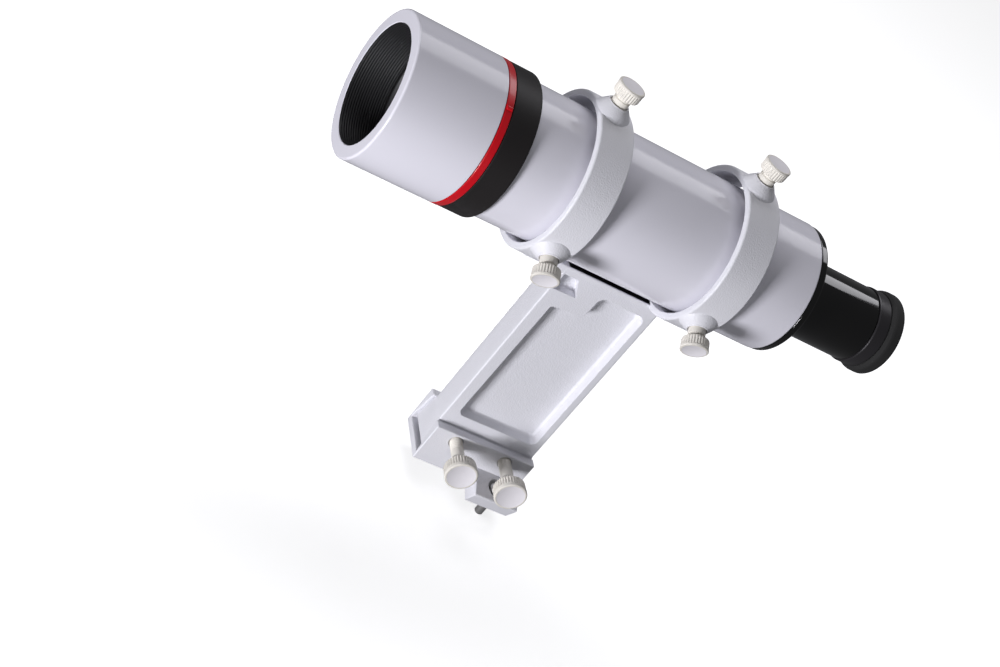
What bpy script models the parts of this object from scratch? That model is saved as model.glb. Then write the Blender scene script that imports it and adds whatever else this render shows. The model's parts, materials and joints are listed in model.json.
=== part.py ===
"""Straight-through 50 mm finder telescope in a two-ring bracket on a dovetail shoe.

Frame: metres, +Z up. The origin is on the flat underside of the dovetail shoe, midway along
it. The optical axis runs along +X, from the objective towards the eye, AXIS_HEIGHT above it.
"Station" means the distance behind the front face of the dew shield, along the optical axis.
"""
import math

import bmesh
import bpy
from mathutils import Matrix, Vector

# ---------------------------------------------------------------- driving dimensions (metres)
MM = 0.001
GAP = 0.3 * MM                  # clearance left wherever two pieces meet
SEGMENTS = 40                   # facets round the large turned parts
FINE_SEGMENTS = 20              # facets round screws, bosses and holes

AXIS_HEIGHT = 145.0 * MM        # optical axis above the shoe's underside
FRONT_X = -135.0 * MM           # front face of the dew shield

SHIELD_R = 31.0 * MM            # dew shield, accent ring
SHIELD_BORE_R = 25.2 * MM       # clear opening in front of the objective
SHIELD_SOCKET_R = 28.5 * MM     # rear bore that takes the objective cell
SHIELD_SOCKET = 17.0 * MM       # station where the rear bore starts
SHIELD_END = 40.1 * MM
ACCENT_END = 43.6 * MM
LOCK_END = 56.0 * MM
LOCK_R = 30.9 * MM
RIM_ROUND = 1.2 * MM            # rounding of the large turned rims

LENS_R = 25.0 * MM              # 50 mm objective
CELL_R = 28.2 * MM
CELL_START = 17.3 * MM
CELL_SEAT = 29.2 * MM           # shoulder the flint lens rests on
CELL_END = 43.3 * MM

TUBE_R = 28.6 * MM
TUBE_BORE_R = 26.6 * MM
TUBE_END = 198.5 * MM
NECK_START = 34.0 * MM          # threaded neck under the objective cell
NECK_END = 49.0 * MM
NECK_R = 26.2 * MM
NECK_BORE_R = 24.2 * MM
NECK_LENGTH_INSIDE = 62.0 * MM  # station where the thicker front wall of the tube ends

PLATE_END = 202.0 * MM          # rear closing plate of the tube
PLATE_R = 28.3 * MM
SPIGOT_START = 190.0 * MM
BARREL_R = 16.55 * MM
BARREL_THREAD_R = 14.9 * MM
BARREL_THREAD_START = 192.0 * MM
BARREL_END = 241.4 * MM
BARREL_BORE_R = 12.2 * MM
BARREL_LENS_BORE_R = 13.2 * MM
BARREL_SHOULDER = 216.0 * MM
EYE_LENS_R = 12.9 * MM
BEZEL_R = 17.15 * MM
BEZEL_END = 248.0 * MM
CUP_R = 18.5 * MM
CUP_END = 255.0 * MM

RING_R = 34.3 * MM              # outside of the two bracket rings
RING_BORE_R = 31.3 * MM
RING_LIFT = 1.0 * MM            # the tube rests this far below the rings' centres
RING_WIDTH = 16.0 * MM
FRONT_RING = 88.0 * MM          # stations of the ring centres
REAR_RING = 161.7 * MM
# Degrees from +Y towards +Z, place along the ring's width, and heights of the boss and head.
ADJUSTERS = {"top": (90.0, -1.5 * MM, 38.5 * MM, 42.3 * MM),
             "near": (210.0, 0.0, 37.5 * MM, 41.7 * MM),
             "far": (330.0, 0.0, 37.5 * MM, 41.7 * MM)}

BOSS_BASE_R = 7.3 * MM
BOSS_BASE = 32.3 * MM           # the cone of the boss starts inside the ring
BOSS_TIP_R = 4.9 * MM
ADJUST_SHANK_R = 2.5 * MM
ADJUST_NECK_R = 3.65 * MM
ADJUST_HEAD_R = 5.9 * MM
ADJUST_HEAD_LENGTH = 5.1 * MM

RAIL_HALF_WIDTH = 7.1 * MM      # rail, stem and top of the foot across the axis
RAIL_TOP = AXIS_HEIGHT - 31.0 * MM
RAIL_BOTTOM = AXIS_HEIGHT - 35.2 * MM
RAIL_IN_RING = 6.0 * MM         # how far the rail runs on past each ring's centre
STEM_START = 111.2 * MM
STEM_END = 159.9 * MM
RECESS_DEPTH = 5.0 * MM
RECESS_ROUND = 3.5 * MM

SHOE_TOP = 20.2 * MM
SHOE_HALF_WIDTH = 12.4 * MM
SHOE_START = 110.0 * MM
SHOE_END = 160.3 * MM
SHOE_FLOOR = 3.2 * MM
FOOT_BOTTOM = 5.6 * MM
FOOT_TOP_HALF = 7.6 * MM
FOOT_BOTTOM_HALF = 10.4 * MM

FLANGE_START = 138.0 * MM       # saddle flange that the shoe is screwed down by
SADDLE_R = 70.0 * MM            # telescope tube that the saddle fits
SADDLE_CROWN = -0.1 * MM        # height of the saddle's underside at the mid plane
FLANGE_TIP_HALF = 25.9 * MM
FLANGE_TIP_TOP = 4.2 * MM
FLANGE_FOOT_HALF = 21.5 * MM
FLANGE_ROOT_TOP = 8.4 * MM
FIXING_STATION = 149.3 * MM
FIXING_OFFSET = 18.6 * MM

CLAMP_STATIONS = {"front": 121.9 * MM, "rear": 147.2 * MM}
CLAMP_HEIGHT = 15.9 * MM
CLAMP_SHANK_R = 2.85 * MM
CLAMP_HEAD_R = 7.2 * MM
CLAMP_TIP = 9.4 * MM            # distances from the mid plane, along the screw
CLAMP_CONE = 22.5 * MM
CLAMP_HEAD = 26.7 * MM
CLAMP_END = 33.5 * MM


# ---------------------------------------------------------------- helpers
def clear_scene():
    """Remove everything, so that only this part is in the file."""
    for item in list(bpy.data.objects):
        bpy.data.objects.remove(item, do_unlink=True)


def material(name, colour, roughness, metallic=0.0, alpha=1.0):
    """One Principled material."""
    made = bpy.data.materials.new(name)
    made.use_nodes = True
    shader = made.node_tree.nodes["Principled BSDF"]
    shader.inputs["Base Color"].default_value = (*colour, 1.0)
    shader.inputs["Roughness"].default_value = roughness
    shader.inputs["Metallic"].default_value = metallic
    shader.inputs["Alpha"].default_value = alpha
    made.diffuse_color = (*colour, alpha)
    return made


def add_object(name, mesh, finish, matrix=Matrix.Identity(4)):
    """Link a mesh into the scene as a named object with its own material."""
    made = bpy.data.objects.new(name, mesh)
    bpy.context.scene.collection.objects.link(made)
    if finish is not None:
        mesh.materials.clear()
        mesh.materials.append(finish)
    made.matrix_world = matrix
    return made


def finish_mesh(name, build):
    """Turn a bmesh into a mesh with outward normals, smooth except at real edges."""
    bmesh.ops.remove_doubles(build, verts=build.verts, dist=1e-7)
    bmesh.ops.recalc_face_normals(build, faces=build.faces)
    mesh = bpy.data.meshes.new(name)
    build.to_mesh(mesh)
    build.free()
    mesh.shade_smooth()
    mesh.set_sharp_from_angle(angle=math.radians(35.0))
    return mesh


def turned_mesh(name, profile, segments=SEGMENTS):
    """Spin a closed outline of (x, radius) points a full turn about the X axis."""
    build = bmesh.new()
    points = [build.verts.new((x, 0.0, radius)) for x, radius in profile]
    loop = points + points[:1]
    for first, second in zip(loop, loop[1:]):
        if first.co.z > 0.0 or second.co.z > 0.0:
            build.edges.new((first, second))
    bmesh.ops.spin(build, geom=build.verts[:] + build.edges[:], cent=(0, 0, 0), axis=(1, 0, 0),
                   angle=math.tau, steps=segments, use_duplicate=False)
    return finish_mesh(name, build)


def prism_mesh(name, outline, low, high, axes):
    """Extrude a closed outline; axes names its two directions and the extrusion's, as in 'yzx'."""
    build = bmesh.new()
    order = ["xyz".index(letter) for letter in axes]
    rings = []
    for depth in (low, high):
        ring = []
        for first, second in outline:
            place = [0.0, 0.0, 0.0]
            place[order[0]], place[order[1]], place[order[2]] = first, second, depth
            ring.append(build.verts.new(place))
        rings.append(ring)
    build.faces.new(rings[0])
    build.faces.new(rings[1])
    count = len(outline)
    for index in range(count):
        after = (index + 1) % count
        build.faces.new((rings[0][index], rings[0][after], rings[1][after], rings[1][index]))
    return finish_mesh(name, build)


def box_outline(low, high):
    """Corner points of a rectangle."""
    return [(low[0], low[1]), (high[0], low[1]), (high[0], high[1]), (low[0], high[1])]


def rounded_outline(corners, radius, steps=4):
    """Round every corner of a polygon with an arc of the given radius."""
    rounded = []
    count = len(corners)
    for index, corner in enumerate(corners):
        here = Vector(corner)
        before = (Vector(corners[index - 1]) - here).normalized()
        after = (Vector(corners[(index + 1) % count]) - here).normalized()
        half = before.angle(after) / 2.0
        centre = here + (before + after).normalized() * (radius / math.sin(half))
        start = here + before * (radius / math.tan(half)) - centre
        sweep = math.pi - 2.0 * half
        turn = math.copysign(1.0, before.x * after.y - before.y * after.x)
        for step in range(steps + 1):
            angle = -turn * sweep * step / steps
            x = start.x * math.cos(angle) - start.y * math.sin(angle)
            y = start.x * math.sin(angle) + start.y * math.cos(angle)
            rounded.append((centre.x + x, centre.y + y))
    return rounded


def cut(target, tool, operation="DIFFERENCE"):
    """Add a Boolean modifier; the tool object is only a construction guide."""
    tool.hide_render = True
    tool.display_type = "WIRE"
    step = target.modifiers.new(tool.name, "BOOLEAN")
    step.operation = operation
    step.solver = "EXACT"
    step.object = tool


def gathered(name, pieces):
    """One guide object holding several separate (mesh, matrix) bodies."""
    build = bmesh.new()
    for mesh, matrix in pieces:
        placed = mesh.copy()
        placed.transform(matrix)
        build.from_mesh(placed)
        bpy.data.meshes.remove(placed)
    mesh = bpy.data.meshes.new(name)
    build.to_mesh(mesh)
    build.free()
    return add_object(name, mesh, None)


def on_axis(station):
    """Place a turned piece on the optical axis."""
    return Matrix.Translation((FRONT_X + station, 0.0, AXIS_HEIGHT))


def in_ring(station):
    """Place a turned piece on the line through the rings' centres."""
    return Matrix.Translation((FRONT_X + station, 0.0, AXIS_HEIGHT + RING_LIFT))


def radial(station, degrees):
    """Place a piece whose local X points outwards from that line at an angle."""
    angle = math.radians(degrees)
    direction = Vector((0.0, math.cos(angle), math.sin(angle)))
    across = Vector((1.0, 0.0, 0.0))
    third = direction.cross(across)
    turn = Matrix((direction, across, third)).transposed().to_4x4()
    return in_ring(station) @ turn


def rim(x, radius, rounding, towards, steps=3):
    """Quarter-round at an outer edge, from the end face (towards = -1 front, +1 rear)."""
    points = []
    for step in range(steps + 1):
        angle = math.pi / 2.0 * step / steps
        points.append((x - towards * rounding * (1.0 - math.sin(math.pi / 2.0 - angle)),
                       radius - rounding * (1.0 - math.sin(angle))))
    return points if towards < 0 else points[::-1]


# ---------------------------------------------------------------- objective group
def lens_profile(front_radius, back_radius, start, centre, aperture, steps=4):
    """Outline of a lens; a radius is positive where the surface bulges towards the front."""
    def sag(radius, height):
        if radius is None:
            return 0.0
        return math.copysign(abs(radius) - math.sqrt(radius ** 2 - height ** 2), radius)

    heights = [aperture * step / steps for step in range(steps + 1)]
    front = [(start + sag(front_radius, height), height) for height in heights]
    back = [(start + centre + sag(back_radius, height), height) for height in heights]
    return front + back[::-1]


def make_objective(paint, red, black, blued, crown, flint):
    """Dew shield, accent ring, cell, two lenses and the rings that hold them."""
    shield = rim(0.0, SHIELD_R, RIM_ROUND, -1) + [
        (SHIELD_END, SHIELD_R), (SHIELD_END, SHIELD_SOCKET_R), (SHIELD_SOCKET, SHIELD_SOCKET_R),
        (SHIELD_SOCKET, SHIELD_BORE_R), (0.0, SHIELD_BORE_R)]
    add_object("dew_shield", turned_mesh("dew_shield", shield), paint, on_axis(0.0))

    accent_start = SHIELD_END + GAP
    accent = [(0.0, SHIELD_SOCKET_R), (0.0, SHIELD_R), (ACCENT_END - accent_start, SHIELD_R),
              (ACCENT_END - accent_start, SHIELD_SOCKET_R)]
    ring = add_object("red_accent_ring", turned_mesh("red_accent_ring", accent), red,
                      on_axis(accent_start))
    # The index nub stands a little proud of the ring on the near upper side.
    nub = add_object("accent_nub_guide", prism_mesh("accent_nub_guide", box_outline(
        (SHIELD_R - 1.0 * MM, -0.6 * MM), (SHIELD_R + 0.5 * MM, 0.6 * MM)), -1.4 * MM, 1.3 * MM,
        "xyz"), None)
    # The nub's local X is radial, its local Z lies along the optical axis.
    angle = math.radians(126.0)
    out = Vector((0.0, math.cos(angle), math.sin(angle)))
    along = Vector((1.0, 0.0, 0.0))
    side = along.cross(out)
    nub.matrix_world = on_axis((accent_start + ACCENT_END) / 2.0) @ Matrix(
        (out, side, along)).transposed().to_4x4()
    cut(ring, nub, "UNION")

    cell = [(CELL_START, LENS_R + GAP), (CELL_START, CELL_R), (CELL_END, CELL_R),
            (CELL_END, NECK_R + GAP), (CELL_SEAT + 2.0 * MM, NECK_R + GAP),
            (CELL_SEAT + 2.0 * MM, LENS_R - 1.2 * MM), (CELL_SEAT, LENS_R - 1.2 * MM),
            (CELL_SEAT, LENS_R + GAP)]
    add_object("objective_cell", turned_mesh("objective_cell", cell), black, on_axis(0.0))

    crown_outline = lens_profile(120.0 * MM, -90.0 * MM, 17.4 * MM, 8.0 * MM, LENS_R)
    add_object("objective_crown_lens", turned_mesh("objective_crown_lens", crown_outline), crown,
               on_axis(0.0))
    spacer = box_outline((22.45 * MM, LENS_R - 0.9 * MM), (23.05 * MM, LENS_R))
    add_object("objective_lens_spacer", turned_mesh("objective_lens_spacer", spacer), blued,
               on_axis(0.0))
    flint_outline = lens_profile(-90.0 * MM, None, 26.9 * MM, 2.0 * MM, LENS_R)
    add_object("objective_flint_lens", turned_mesh("objective_flint_lens", flint_outline), flint,
               on_axis(0.0))
    retainer = box_outline((CELL_START + GAP, LENS_R - 1.4 * MM), (19.4 * MM, LENS_R))
    add_object("objective_retaining_ring", turned_mesh("objective_retaining_ring", retainer),
               black, on_axis(0.0))

    lock_start = ACCENT_END + GAP
    lock = [(lock_start, NECK_R + GAP), (lock_start, LOCK_R)]
    lock += rim(LOCK_END, LOCK_R, 2.0 * MM, 1)
    lock += [(LOCK_END, TUBE_R + GAP), (lock_start + 2.5 * MM, TUBE_R + GAP),
             (lock_start + 2.5 * MM, NECK_R + GAP)]
    add_object("focus_lock_ring", turned_mesh("focus_lock_ring", lock), black, on_axis(0.0))


# ---------------------------------------------------------------- tube and eyepiece
def make_tube(paint, black, gloss):
    """Main tube with its baffles, the rear plate and the eyepiece barrel."""
    tube = [(NECK_START, NECK_BORE_R), (NECK_START, NECK_R), (NECK_END, NECK_R),
            (NECK_END, TUBE_R), (TUBE_END, TUBE_R), (TUBE_END, TUBE_BORE_R),
            (NECK_LENGTH_INSIDE, TUBE_BORE_R), (NECK_LENGTH_INSIDE, NECK_BORE_R)]
    add_object("main_tube", turned_mesh("main_tube", tube), paint, on_axis(0.0))
    for name, station, opening in (("front_baffle", 95.0 * MM, 20.0 * MM),
                                   ("rear_baffle", 145.0 * MM, 15.5 * MM)):
        baffle = [(0.0, opening), (0.0, TUBE_BORE_R - GAP), (6.0 * MM, TUBE_BORE_R - GAP),
                  (6.0 * MM, TUBE_BORE_R - 1.5 * MM), (1.2 * MM, TUBE_BORE_R - 1.5 * MM),
                  (1.2 * MM, opening)]
        add_object(name, turned_mesh(name, baffle), black, on_axis(station))

    plate = [(SPIGOT_START, BARREL_THREAD_R + GAP), (SPIGOT_START, TUBE_BORE_R - GAP),
             (TUBE_END + GAP, TUBE_BORE_R - GAP), (TUBE_END + GAP, PLATE_R)]
    plate += rim(PLATE_END, PLATE_R, 0.8 * MM, 1)
    plate += [(PLATE_END, BARREL_THREAD_R + GAP)]
    add_object("rear_plate", turned_mesh("rear_plate", plate), gloss, on_axis(0.0))

    barrel = [(BARREL_THREAD_START, BARREL_BORE_R), (BARREL_THREAD_START, BARREL_THREAD_R),
              (PLATE_END + GAP, BARREL_THREAD_R), (PLATE_END + GAP, BARREL_R),
              (BARREL_END, BARREL_R), (BARREL_END, BARREL_LENS_BORE_R),
              (BARREL_SHOULDER, BARREL_LENS_BORE_R), (BARREL_SHOULDER, BARREL_BORE_R)]
    add_object("eyepiece_barrel", turned_mesh("eyepiece_barrel", barrel), gloss, on_axis(0.0))


def make_eyepiece(black, wire, glass, satin, rubber):
    """Cross wires, two lenses with their spacers and ring, the bezel and the rubber eyecup."""
    rings = (("reticle_ring", 216.3, 219.0, 11.0), ("eyepiece_spacer_tube", 219.9, 225.0, 12.0),
             ("eyepiece_lens_spacer", 229.9, 234.4, 12.0),
             ("eyepiece_retaining_ring", 240.0, 241.4, 11.4))
    for name, start, end, bore in rings:
        outline = box_outline((start * MM, bore * MM), (end * MM, EYE_LENS_R))
        add_object(name, turned_mesh(name, outline, FINE_SEGMENTS), black, on_axis(0.0))

    half, reach = 0.08 * MM, 11.6 * MM
    quarter = [(reach, half), (half, half), (half, reach)]
    outline = []
    for turn in range(4):
        angle = turn * math.pi / 2.0
        for y, z in quarter:
            outline.append((y * math.cos(angle) - z * math.sin(angle),
                            y * math.sin(angle) + z * math.cos(angle)))
    cross_start = 219.0 * MM + GAP
    add_object("crosshair", prism_mesh("crosshair", outline, 0.0, 0.2 * MM, "yzx"), wire,
               on_axis(cross_start))

    field = lens_profile(None, -30.0 * MM, 225.3 * MM, 5.0 * MM, EYE_LENS_R - 0.2 * MM)
    add_object("field_lens", turned_mesh("field_lens", field, FINE_SEGMENTS), glass, on_axis(0.0))
    eye = lens_profile(28.0 * MM, -60.0 * MM, 232.1 * MM, 7.0 * MM, EYE_LENS_R - 0.2 * MM)
    add_object("eye_lens", turned_mesh("eye_lens", eye, FINE_SEGMENTS), glass, on_axis(0.0))

    bezel_start = BARREL_END + GAP
    seat_r = 15.0 * MM
    bezel = [(bezel_start, EYE_LENS_R + GAP), (bezel_start, BEZEL_R - 0.2 * MM),
             (bezel_start + 0.4 * MM, BEZEL_R), (BEZEL_END, BEZEL_R - 0.2 * MM),
             (BEZEL_END, seat_r), (BEZEL_END + 3.0 * MM, seat_r),
             (BEZEL_END + 3.0 * MM, EYE_LENS_R + GAP)]
    add_object("eye_bezel", turned_mesh("eye_bezel", bezel), satin, on_axis(0.0))

    cup_start = BEZEL_END + GAP
    cup = [(cup_start, seat_r + GAP), (cup_start, BEZEL_R), (cup_start + 0.9 * MM, CUP_R - 0.3 * MM),
           (cup_start + 2.0 * MM, CUP_R)]
    cup += rim(CUP_END, CUP_R, 1.6 * MM, 1)
    cup += [(CUP_END - 0.2 * MM, CUP_R - 3.6 * MM), (BEZEL_END + 3.0 * MM + GAP, EYE_LENS_R),
            (BEZEL_END + 3.0 * MM + GAP, seat_r + GAP)]
    add_object("eyecup", turned_mesh("eyecup", cup), rubber, on_axis(0.0))


# ---------------------------------------------------------------- bracket
def make_bracket(paint):
    """Two rings on a rail, the stem below them and the dovetail foot, cast as one piece."""
    half = RING_WIDTH / 2.0
    rail_start, rail_end = FRONT_RING - RAIL_IN_RING, REAR_RING + RAIL_IN_RING
    side = [(rail_start, RAIL_TOP), (rail_end, RAIL_TOP), (rail_end, RAIL_BOTTOM),
            (STEM_END, RAIL_BOTTOM), (STEM_END, SHOE_TOP + GAP), (STEM_START, SHOE_TOP + GAP),
            (STEM_START, RAIL_BOTTOM), (rail_start, RAIL_BOTTOM)]
    mesh = prism_mesh("bracket_body", [(FRONT_X + station, z) for station, z in side],
                      -RAIL_HALF_WIDTH, RAIL_HALF_WIDTH, "xzy")
    body = add_object("bracket_body", mesh, paint)

    foot_outline = [(-RAIL_HALF_WIDTH, SHOE_TOP + 2.0 * MM), (-RAIL_HALF_WIDTH, SHOE_TOP + GAP),
                    (-FOOT_TOP_HALF, SHOE_TOP - 0.4 * MM), (-FOOT_BOTTOM_HALF, FOOT_BOTTOM),
                    (FOOT_BOTTOM_HALF, FOOT_BOTTOM), (FOOT_TOP_HALF, SHOE_TOP - 0.4 * MM),
                    (RAIL_HALF_WIDTH, SHOE_TOP + GAP), (RAIL_HALF_WIDTH, SHOE_TOP + 2.0 * MM)]
    foot = prism_mesh("foot_guide", foot_outline, FRONT_X + STEM_START, FRONT_X + STEM_END, "yzx")
    cut(body, add_object("foot_guide", foot, None), "UNION")
    cut_recesses(body)

    band = rim(-half, RING_R, RIM_ROUND, -1) + rim(half, RING_R, RIM_ROUND, 1)
    band += [(half, RING_BORE_R), (-half, RING_BORE_R)]
    stations = {"front": FRONT_RING, "rear": REAR_RING}
    for place, station in stations.items():
        name = place + "_ring_guide"
        cut(body, add_object(name, turned_mesh(name, band), None, in_ring(station)), "UNION")
    # A part of a facet's turn keeps the bosses' edges off the edges of the ring's facets.
    turn = Matrix.Rotation(math.tau / FINE_SEGMENTS / 4.0, 4, "X")
    bosses, holes = [], []
    for side, (degrees, shift, top, _) in ADJUSTERS.items():
        boss = [(BOSS_BASE, 0.0), (BOSS_BASE, BOSS_BASE_R), (top, BOSS_TIP_R), (top, 0.0)]
        hole = [(RING_BORE_R - 3.0 * MM, 0.0), (RING_BORE_R - 3.0 * MM, ADJUST_SHANK_R + GAP),
                (top - 3.0 * MM, ADJUST_SHANK_R + GAP), (top - 3.0 * MM, ADJUST_NECK_R + GAP),
                (top + 1.0 * MM, ADJUST_NECK_R + GAP), (top + 1.0 * MM, 0.0)]
        boss_mesh = turned_mesh(side + "_boss", boss, FINE_SEGMENTS)
        hole_mesh = turned_mesh(side + "_boss_hole", hole, FINE_SEGMENTS)
        for station in stations.values():
            place = radial(station + shift, degrees) @ turn
            bosses.append((boss_mesh, place))
            holes.append((hole_mesh, place))
    cut(body, gathered("boss_guides", bosses), "UNION")
    cut(body, gathered("boss_hole_guides", holes))


def cut_recesses(body):
    """The weight-saving recess on each side of the stem, and the screw pocket above it."""
    low, step_low, high = 26.1 * MM, 94.4 * MM, 107.4 * MM
    left, step, right = 116.5 * MM, 133.1 * MM, 156.5 * MM
    corners = [(left, low), (right, low), (right, high), (step, high), (step, step_low),
               (left, step_low)]
    recess = rounded_outline([(FRONT_X + x, z) for x, z in corners], RECESS_ROUND)
    pocket = [(FRONT_X + x * MM, AXIS_HEIGHT - z * MM)
              for x, z in ((114.2, 43.2), (124.0, 42.9), (119.6, 34.4), (114.2, 34.4))]
    for side, sign in (("near", -1.0), ("far", 1.0)):
        face = sign * RAIL_HALF_WIDTH
        floor = sign * (RAIL_HALF_WIDTH - RECESS_DEPTH)
        beyond = face + sign * 2.0 * MM
        name = side + "_recess_guide"
        tool = prism_mesh(name, recess, min(floor, beyond), max(floor, beyond), "xzy")
        cut(body, add_object(name, tool, None))
        if side == "near":
            name = side + "_pocket_guide"
            tool = prism_mesh(name, pocket, beyond, floor, "xzy")
            cut(body, add_object(name, tool, None))


# ---------------------------------------------------------------- shoe
def make_shoe(paint, steel):
    """Dovetail shoe with the saddle flange, and the two screws that hold it down."""
    wall = SHOE_HALF_WIDTH
    body = add_object("dovetail_shoe", prism_mesh("dovetail_shoe", box_outline(
        (-wall, 0.0), (wall, SHOE_TOP)), FRONT_X + SHOE_START, FRONT_X + SHOE_END, "yzx"), paint)

    crown = SADDLE_CROWN - SADDLE_R
    reach = math.asin(FLANGE_FOOT_HALF / SADDLE_R)
    steps = 10
    under = []
    for index in range(steps + 1):
        angle = reach * (2.0 * index / steps - 1.0)
        under.append((SADDLE_R * math.sin(angle), crown + SADDLE_R * math.cos(angle)))
    flange_outline = under + [(FLANGE_TIP_HALF, FLANGE_TIP_TOP), (wall - 1.0 * MM, FLANGE_ROOT_TOP),
                              (1.0 * MM - wall, FLANGE_ROOT_TOP), (-FLANGE_TIP_HALF, FLANGE_TIP_TOP)]
    flange = prism_mesh("flange_guide", flange_outline, FRONT_X + FLANGE_START,
                        FRONT_X + SHOE_END - 0.2 * MM, "yzx")
    cut(body, add_object("flange_guide", flange, None), "UNION")

    slope = (FOOT_BOTTOM_HALF - FOOT_TOP_HALF) / (SHOE_TOP - 0.4 * MM - FOOT_BOTTOM)
    top_half = FOOT_TOP_HALF + GAP - slope * 2.0 * MM
    floor_half = FOOT_BOTTOM_HALF + GAP + slope * (FOOT_BOTTOM - SHOE_FLOOR)
    channel = [(-top_half, SHOE_TOP + 2.0 * MM), (-floor_half, SHOE_FLOOR),
               (floor_half, SHOE_FLOOR), (top_half, SHOE_TOP + 2.0 * MM)]
    tool = prism_mesh("channel_guide", channel, FRONT_X + SHOE_START - 1.0 * MM,
                      FRONT_X + SHOE_END + 1.0 * MM, "yzx")
    cut(body, add_object("channel_guide", tool, None))

    for place, station in CLAMP_STATIONS.items():
        name = place + "_clamp_hole_guide"
        outline = box_outline((6.0 * MM, 0.0), (wall + 1.0 * MM, CLAMP_SHANK_R + GAP))
        cut(body, add_object(name, turned_mesh(name, outline, FINE_SEGMENTS), None,
                             clamp_matrix(station)))

    head_r, head_height, shank_r = 3.5 * MM, 3.6 * MM, 2.0 * MM
    seat = 2.4 * MM
    shaft = [(-9.0 * MM, 0.0), (-9.0 * MM, shank_r), (seat + GAP, shank_r),
             (seat + GAP, head_r), (seat + GAP + head_height - 0.4 * MM, head_r),
             (seat + GAP + head_height, head_r - 0.4 * MM), (seat + GAP + head_height, 0.0)]
    clear = [(-20.0 * MM, 0.0), (-20.0 * MM, shank_r + GAP), (seat, shank_r + GAP),
             (seat, head_r + 1.2 * MM), (20.0 * MM, head_r + 1.2 * MM), (20.0 * MM, 0.0)]
    socket = box_outline((seat + GAP + head_height - 2.0 * MM, 0.0),
                         (seat + GAP + head_height + 1.0 * MM, 1.6 * MM))
    upright = Matrix(((0, 0, 1), (0, 1, 0), (-1, 0, 0))).transposed().to_4x4()
    for side, sign in (("near", -1.0), ("far", 1.0)):
        place = Matrix.Translation((FRONT_X + FIXING_STATION, sign * FIXING_OFFSET, 0.0)) @ upright
        name = side + "_fixing_hole_guide"
        cut(body, add_object(name, turned_mesh(name, clear, FINE_SEGMENTS), None, place))
        name = "shoe_screw_" + side
        screw = add_object(name, turned_mesh(name, shaft, FINE_SEGMENTS), steel, place)
        name = side + "_socket_guide"
        cut(screw, add_object(name, turned_mesh(name, socket, 6), None, place))


# ---------------------------------------------------------------- thumbscrews
def clamp_matrix(station):
    """Place a clamp screw, whose local X points out of the near side of the shoe."""
    turn = Matrix(((0, -1, 0), (1, 0, 0), (0, 0, 1))).transposed().to_4x4()
    return Matrix.Translation((FRONT_X + station, 0.0, CLAMP_HEIGHT)) @ turn


def make_thumbscrews(nylon):
    """Six adjusting screws in the rings and two clamp screws in the shoe."""
    for side, (degrees, shift, top, head) in ADJUSTERS.items():
        tip = TUBE_R + GAP - RING_LIFT * math.sin(math.radians(degrees))
        end = head + ADJUST_HEAD_LENGTH
        adjust = [(tip, 0.0), (tip, ADJUST_SHANK_R - 0.5 * MM), (tip + 0.5 * MM, ADJUST_SHANK_R),
                  (top - 1.4 * MM, ADJUST_SHANK_R), (top - 1.4 * MM, ADJUST_NECK_R),
                  (head, ADJUST_NECK_R), (head, ADJUST_HEAD_R - 0.6 * MM),
                  (head + 0.6 * MM, ADJUST_HEAD_R), (end - 0.6 * MM, ADJUST_HEAD_R),
                  (end, ADJUST_HEAD_R - 0.6 * MM), (end, 0.0)]
        shared = turned_mesh(side + "_screw", adjust, FINE_SEGMENTS)
        for place, station in (("front", FRONT_RING), ("rear", REAR_RING)):
            add_object(place + "_" + side + "_screw", shared, nylon,
                       radial(station + shift, degrees))

    clamp = [(CLAMP_TIP, 0.0), (CLAMP_TIP, CLAMP_SHANK_R - 0.5 * MM),
             (CLAMP_TIP + 0.5 * MM, CLAMP_SHANK_R), (CLAMP_CONE, CLAMP_SHANK_R),
             (CLAMP_HEAD, CLAMP_HEAD_R - 1.4 * MM), (CLAMP_HEAD + 0.8 * MM, CLAMP_HEAD_R),
             (CLAMP_END - 0.7 * MM, CLAMP_HEAD_R), (CLAMP_END, CLAMP_HEAD_R - 0.7 * MM),
             (CLAMP_END, 0.0)]
    shared = turned_mesh("clamp_screw", clamp, FINE_SEGMENTS)
    for place, station in CLAMP_STATIONS.items():
        add_object("clamp_screw_" + place, shared, nylon, clamp_matrix(station))


def main():
    """Build the whole part."""
    clear_scene()
    paint = material("white_gloss_paint", (0.82, 0.82, 0.85), 0.25)
    cast = material("white_cast_paint", (0.80, 0.80, 0.83), 0.45)
    red = material("red_anodised", (0.55, 0.01, 0.02), 0.30)
    black = material("matt_black_anodised", (0.012, 0.012, 0.014), 0.45)
    blued = material("spacer_foil", (0.30, 0.30, 0.32), 0.40, 1.0)
    gloss = material("gloss_black", (0.010, 0.010, 0.012), 0.18)
    satin = material("satin_black_bezel", (0.05, 0.05, 0.055), 0.35)
    crown = material("crown_glass", (0.86, 0.92, 0.90), 0.03, 0.0, 0.35)
    flint = material("flint_glass", (0.84, 0.90, 0.92), 0.03, 0.0, 0.35)
    glass = material("eyepiece_glass", (0.86, 0.91, 0.93), 0.03, 0.0, 0.35)
    wire = material("cross_wire", (0.02, 0.02, 0.02), 0.50)
    rubber = material("eyecup_rubber", (0.014, 0.014, 0.016), 0.75)
    nylon = material("ivory_nylon", (0.80, 0.77, 0.70), 0.40)
    steel = material("zinc_steel", (0.62, 0.61, 0.60), 0.30, 1.0)
    make_objective(paint, red, black, blued, crown, flint)
    make_tube(paint, black, gloss)
    make_eyepiece(black, wire, glass, satin, rubber)
    make_bracket(cast)
    make_shoe(cast, steel)
    make_thumbscrews(nylon)


main()
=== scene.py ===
"""Looks of a straight-through finder telescope in its two-ring dovetail bracket.

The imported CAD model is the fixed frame. Every visible part is built again here as a finely
rounded surface in the place its CAD solid holds, and gets a procedural finish. A "station" is
the distance behind the dew shield's front face, along the optical axis, in metres.
"""
from __future__ import annotations

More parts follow.
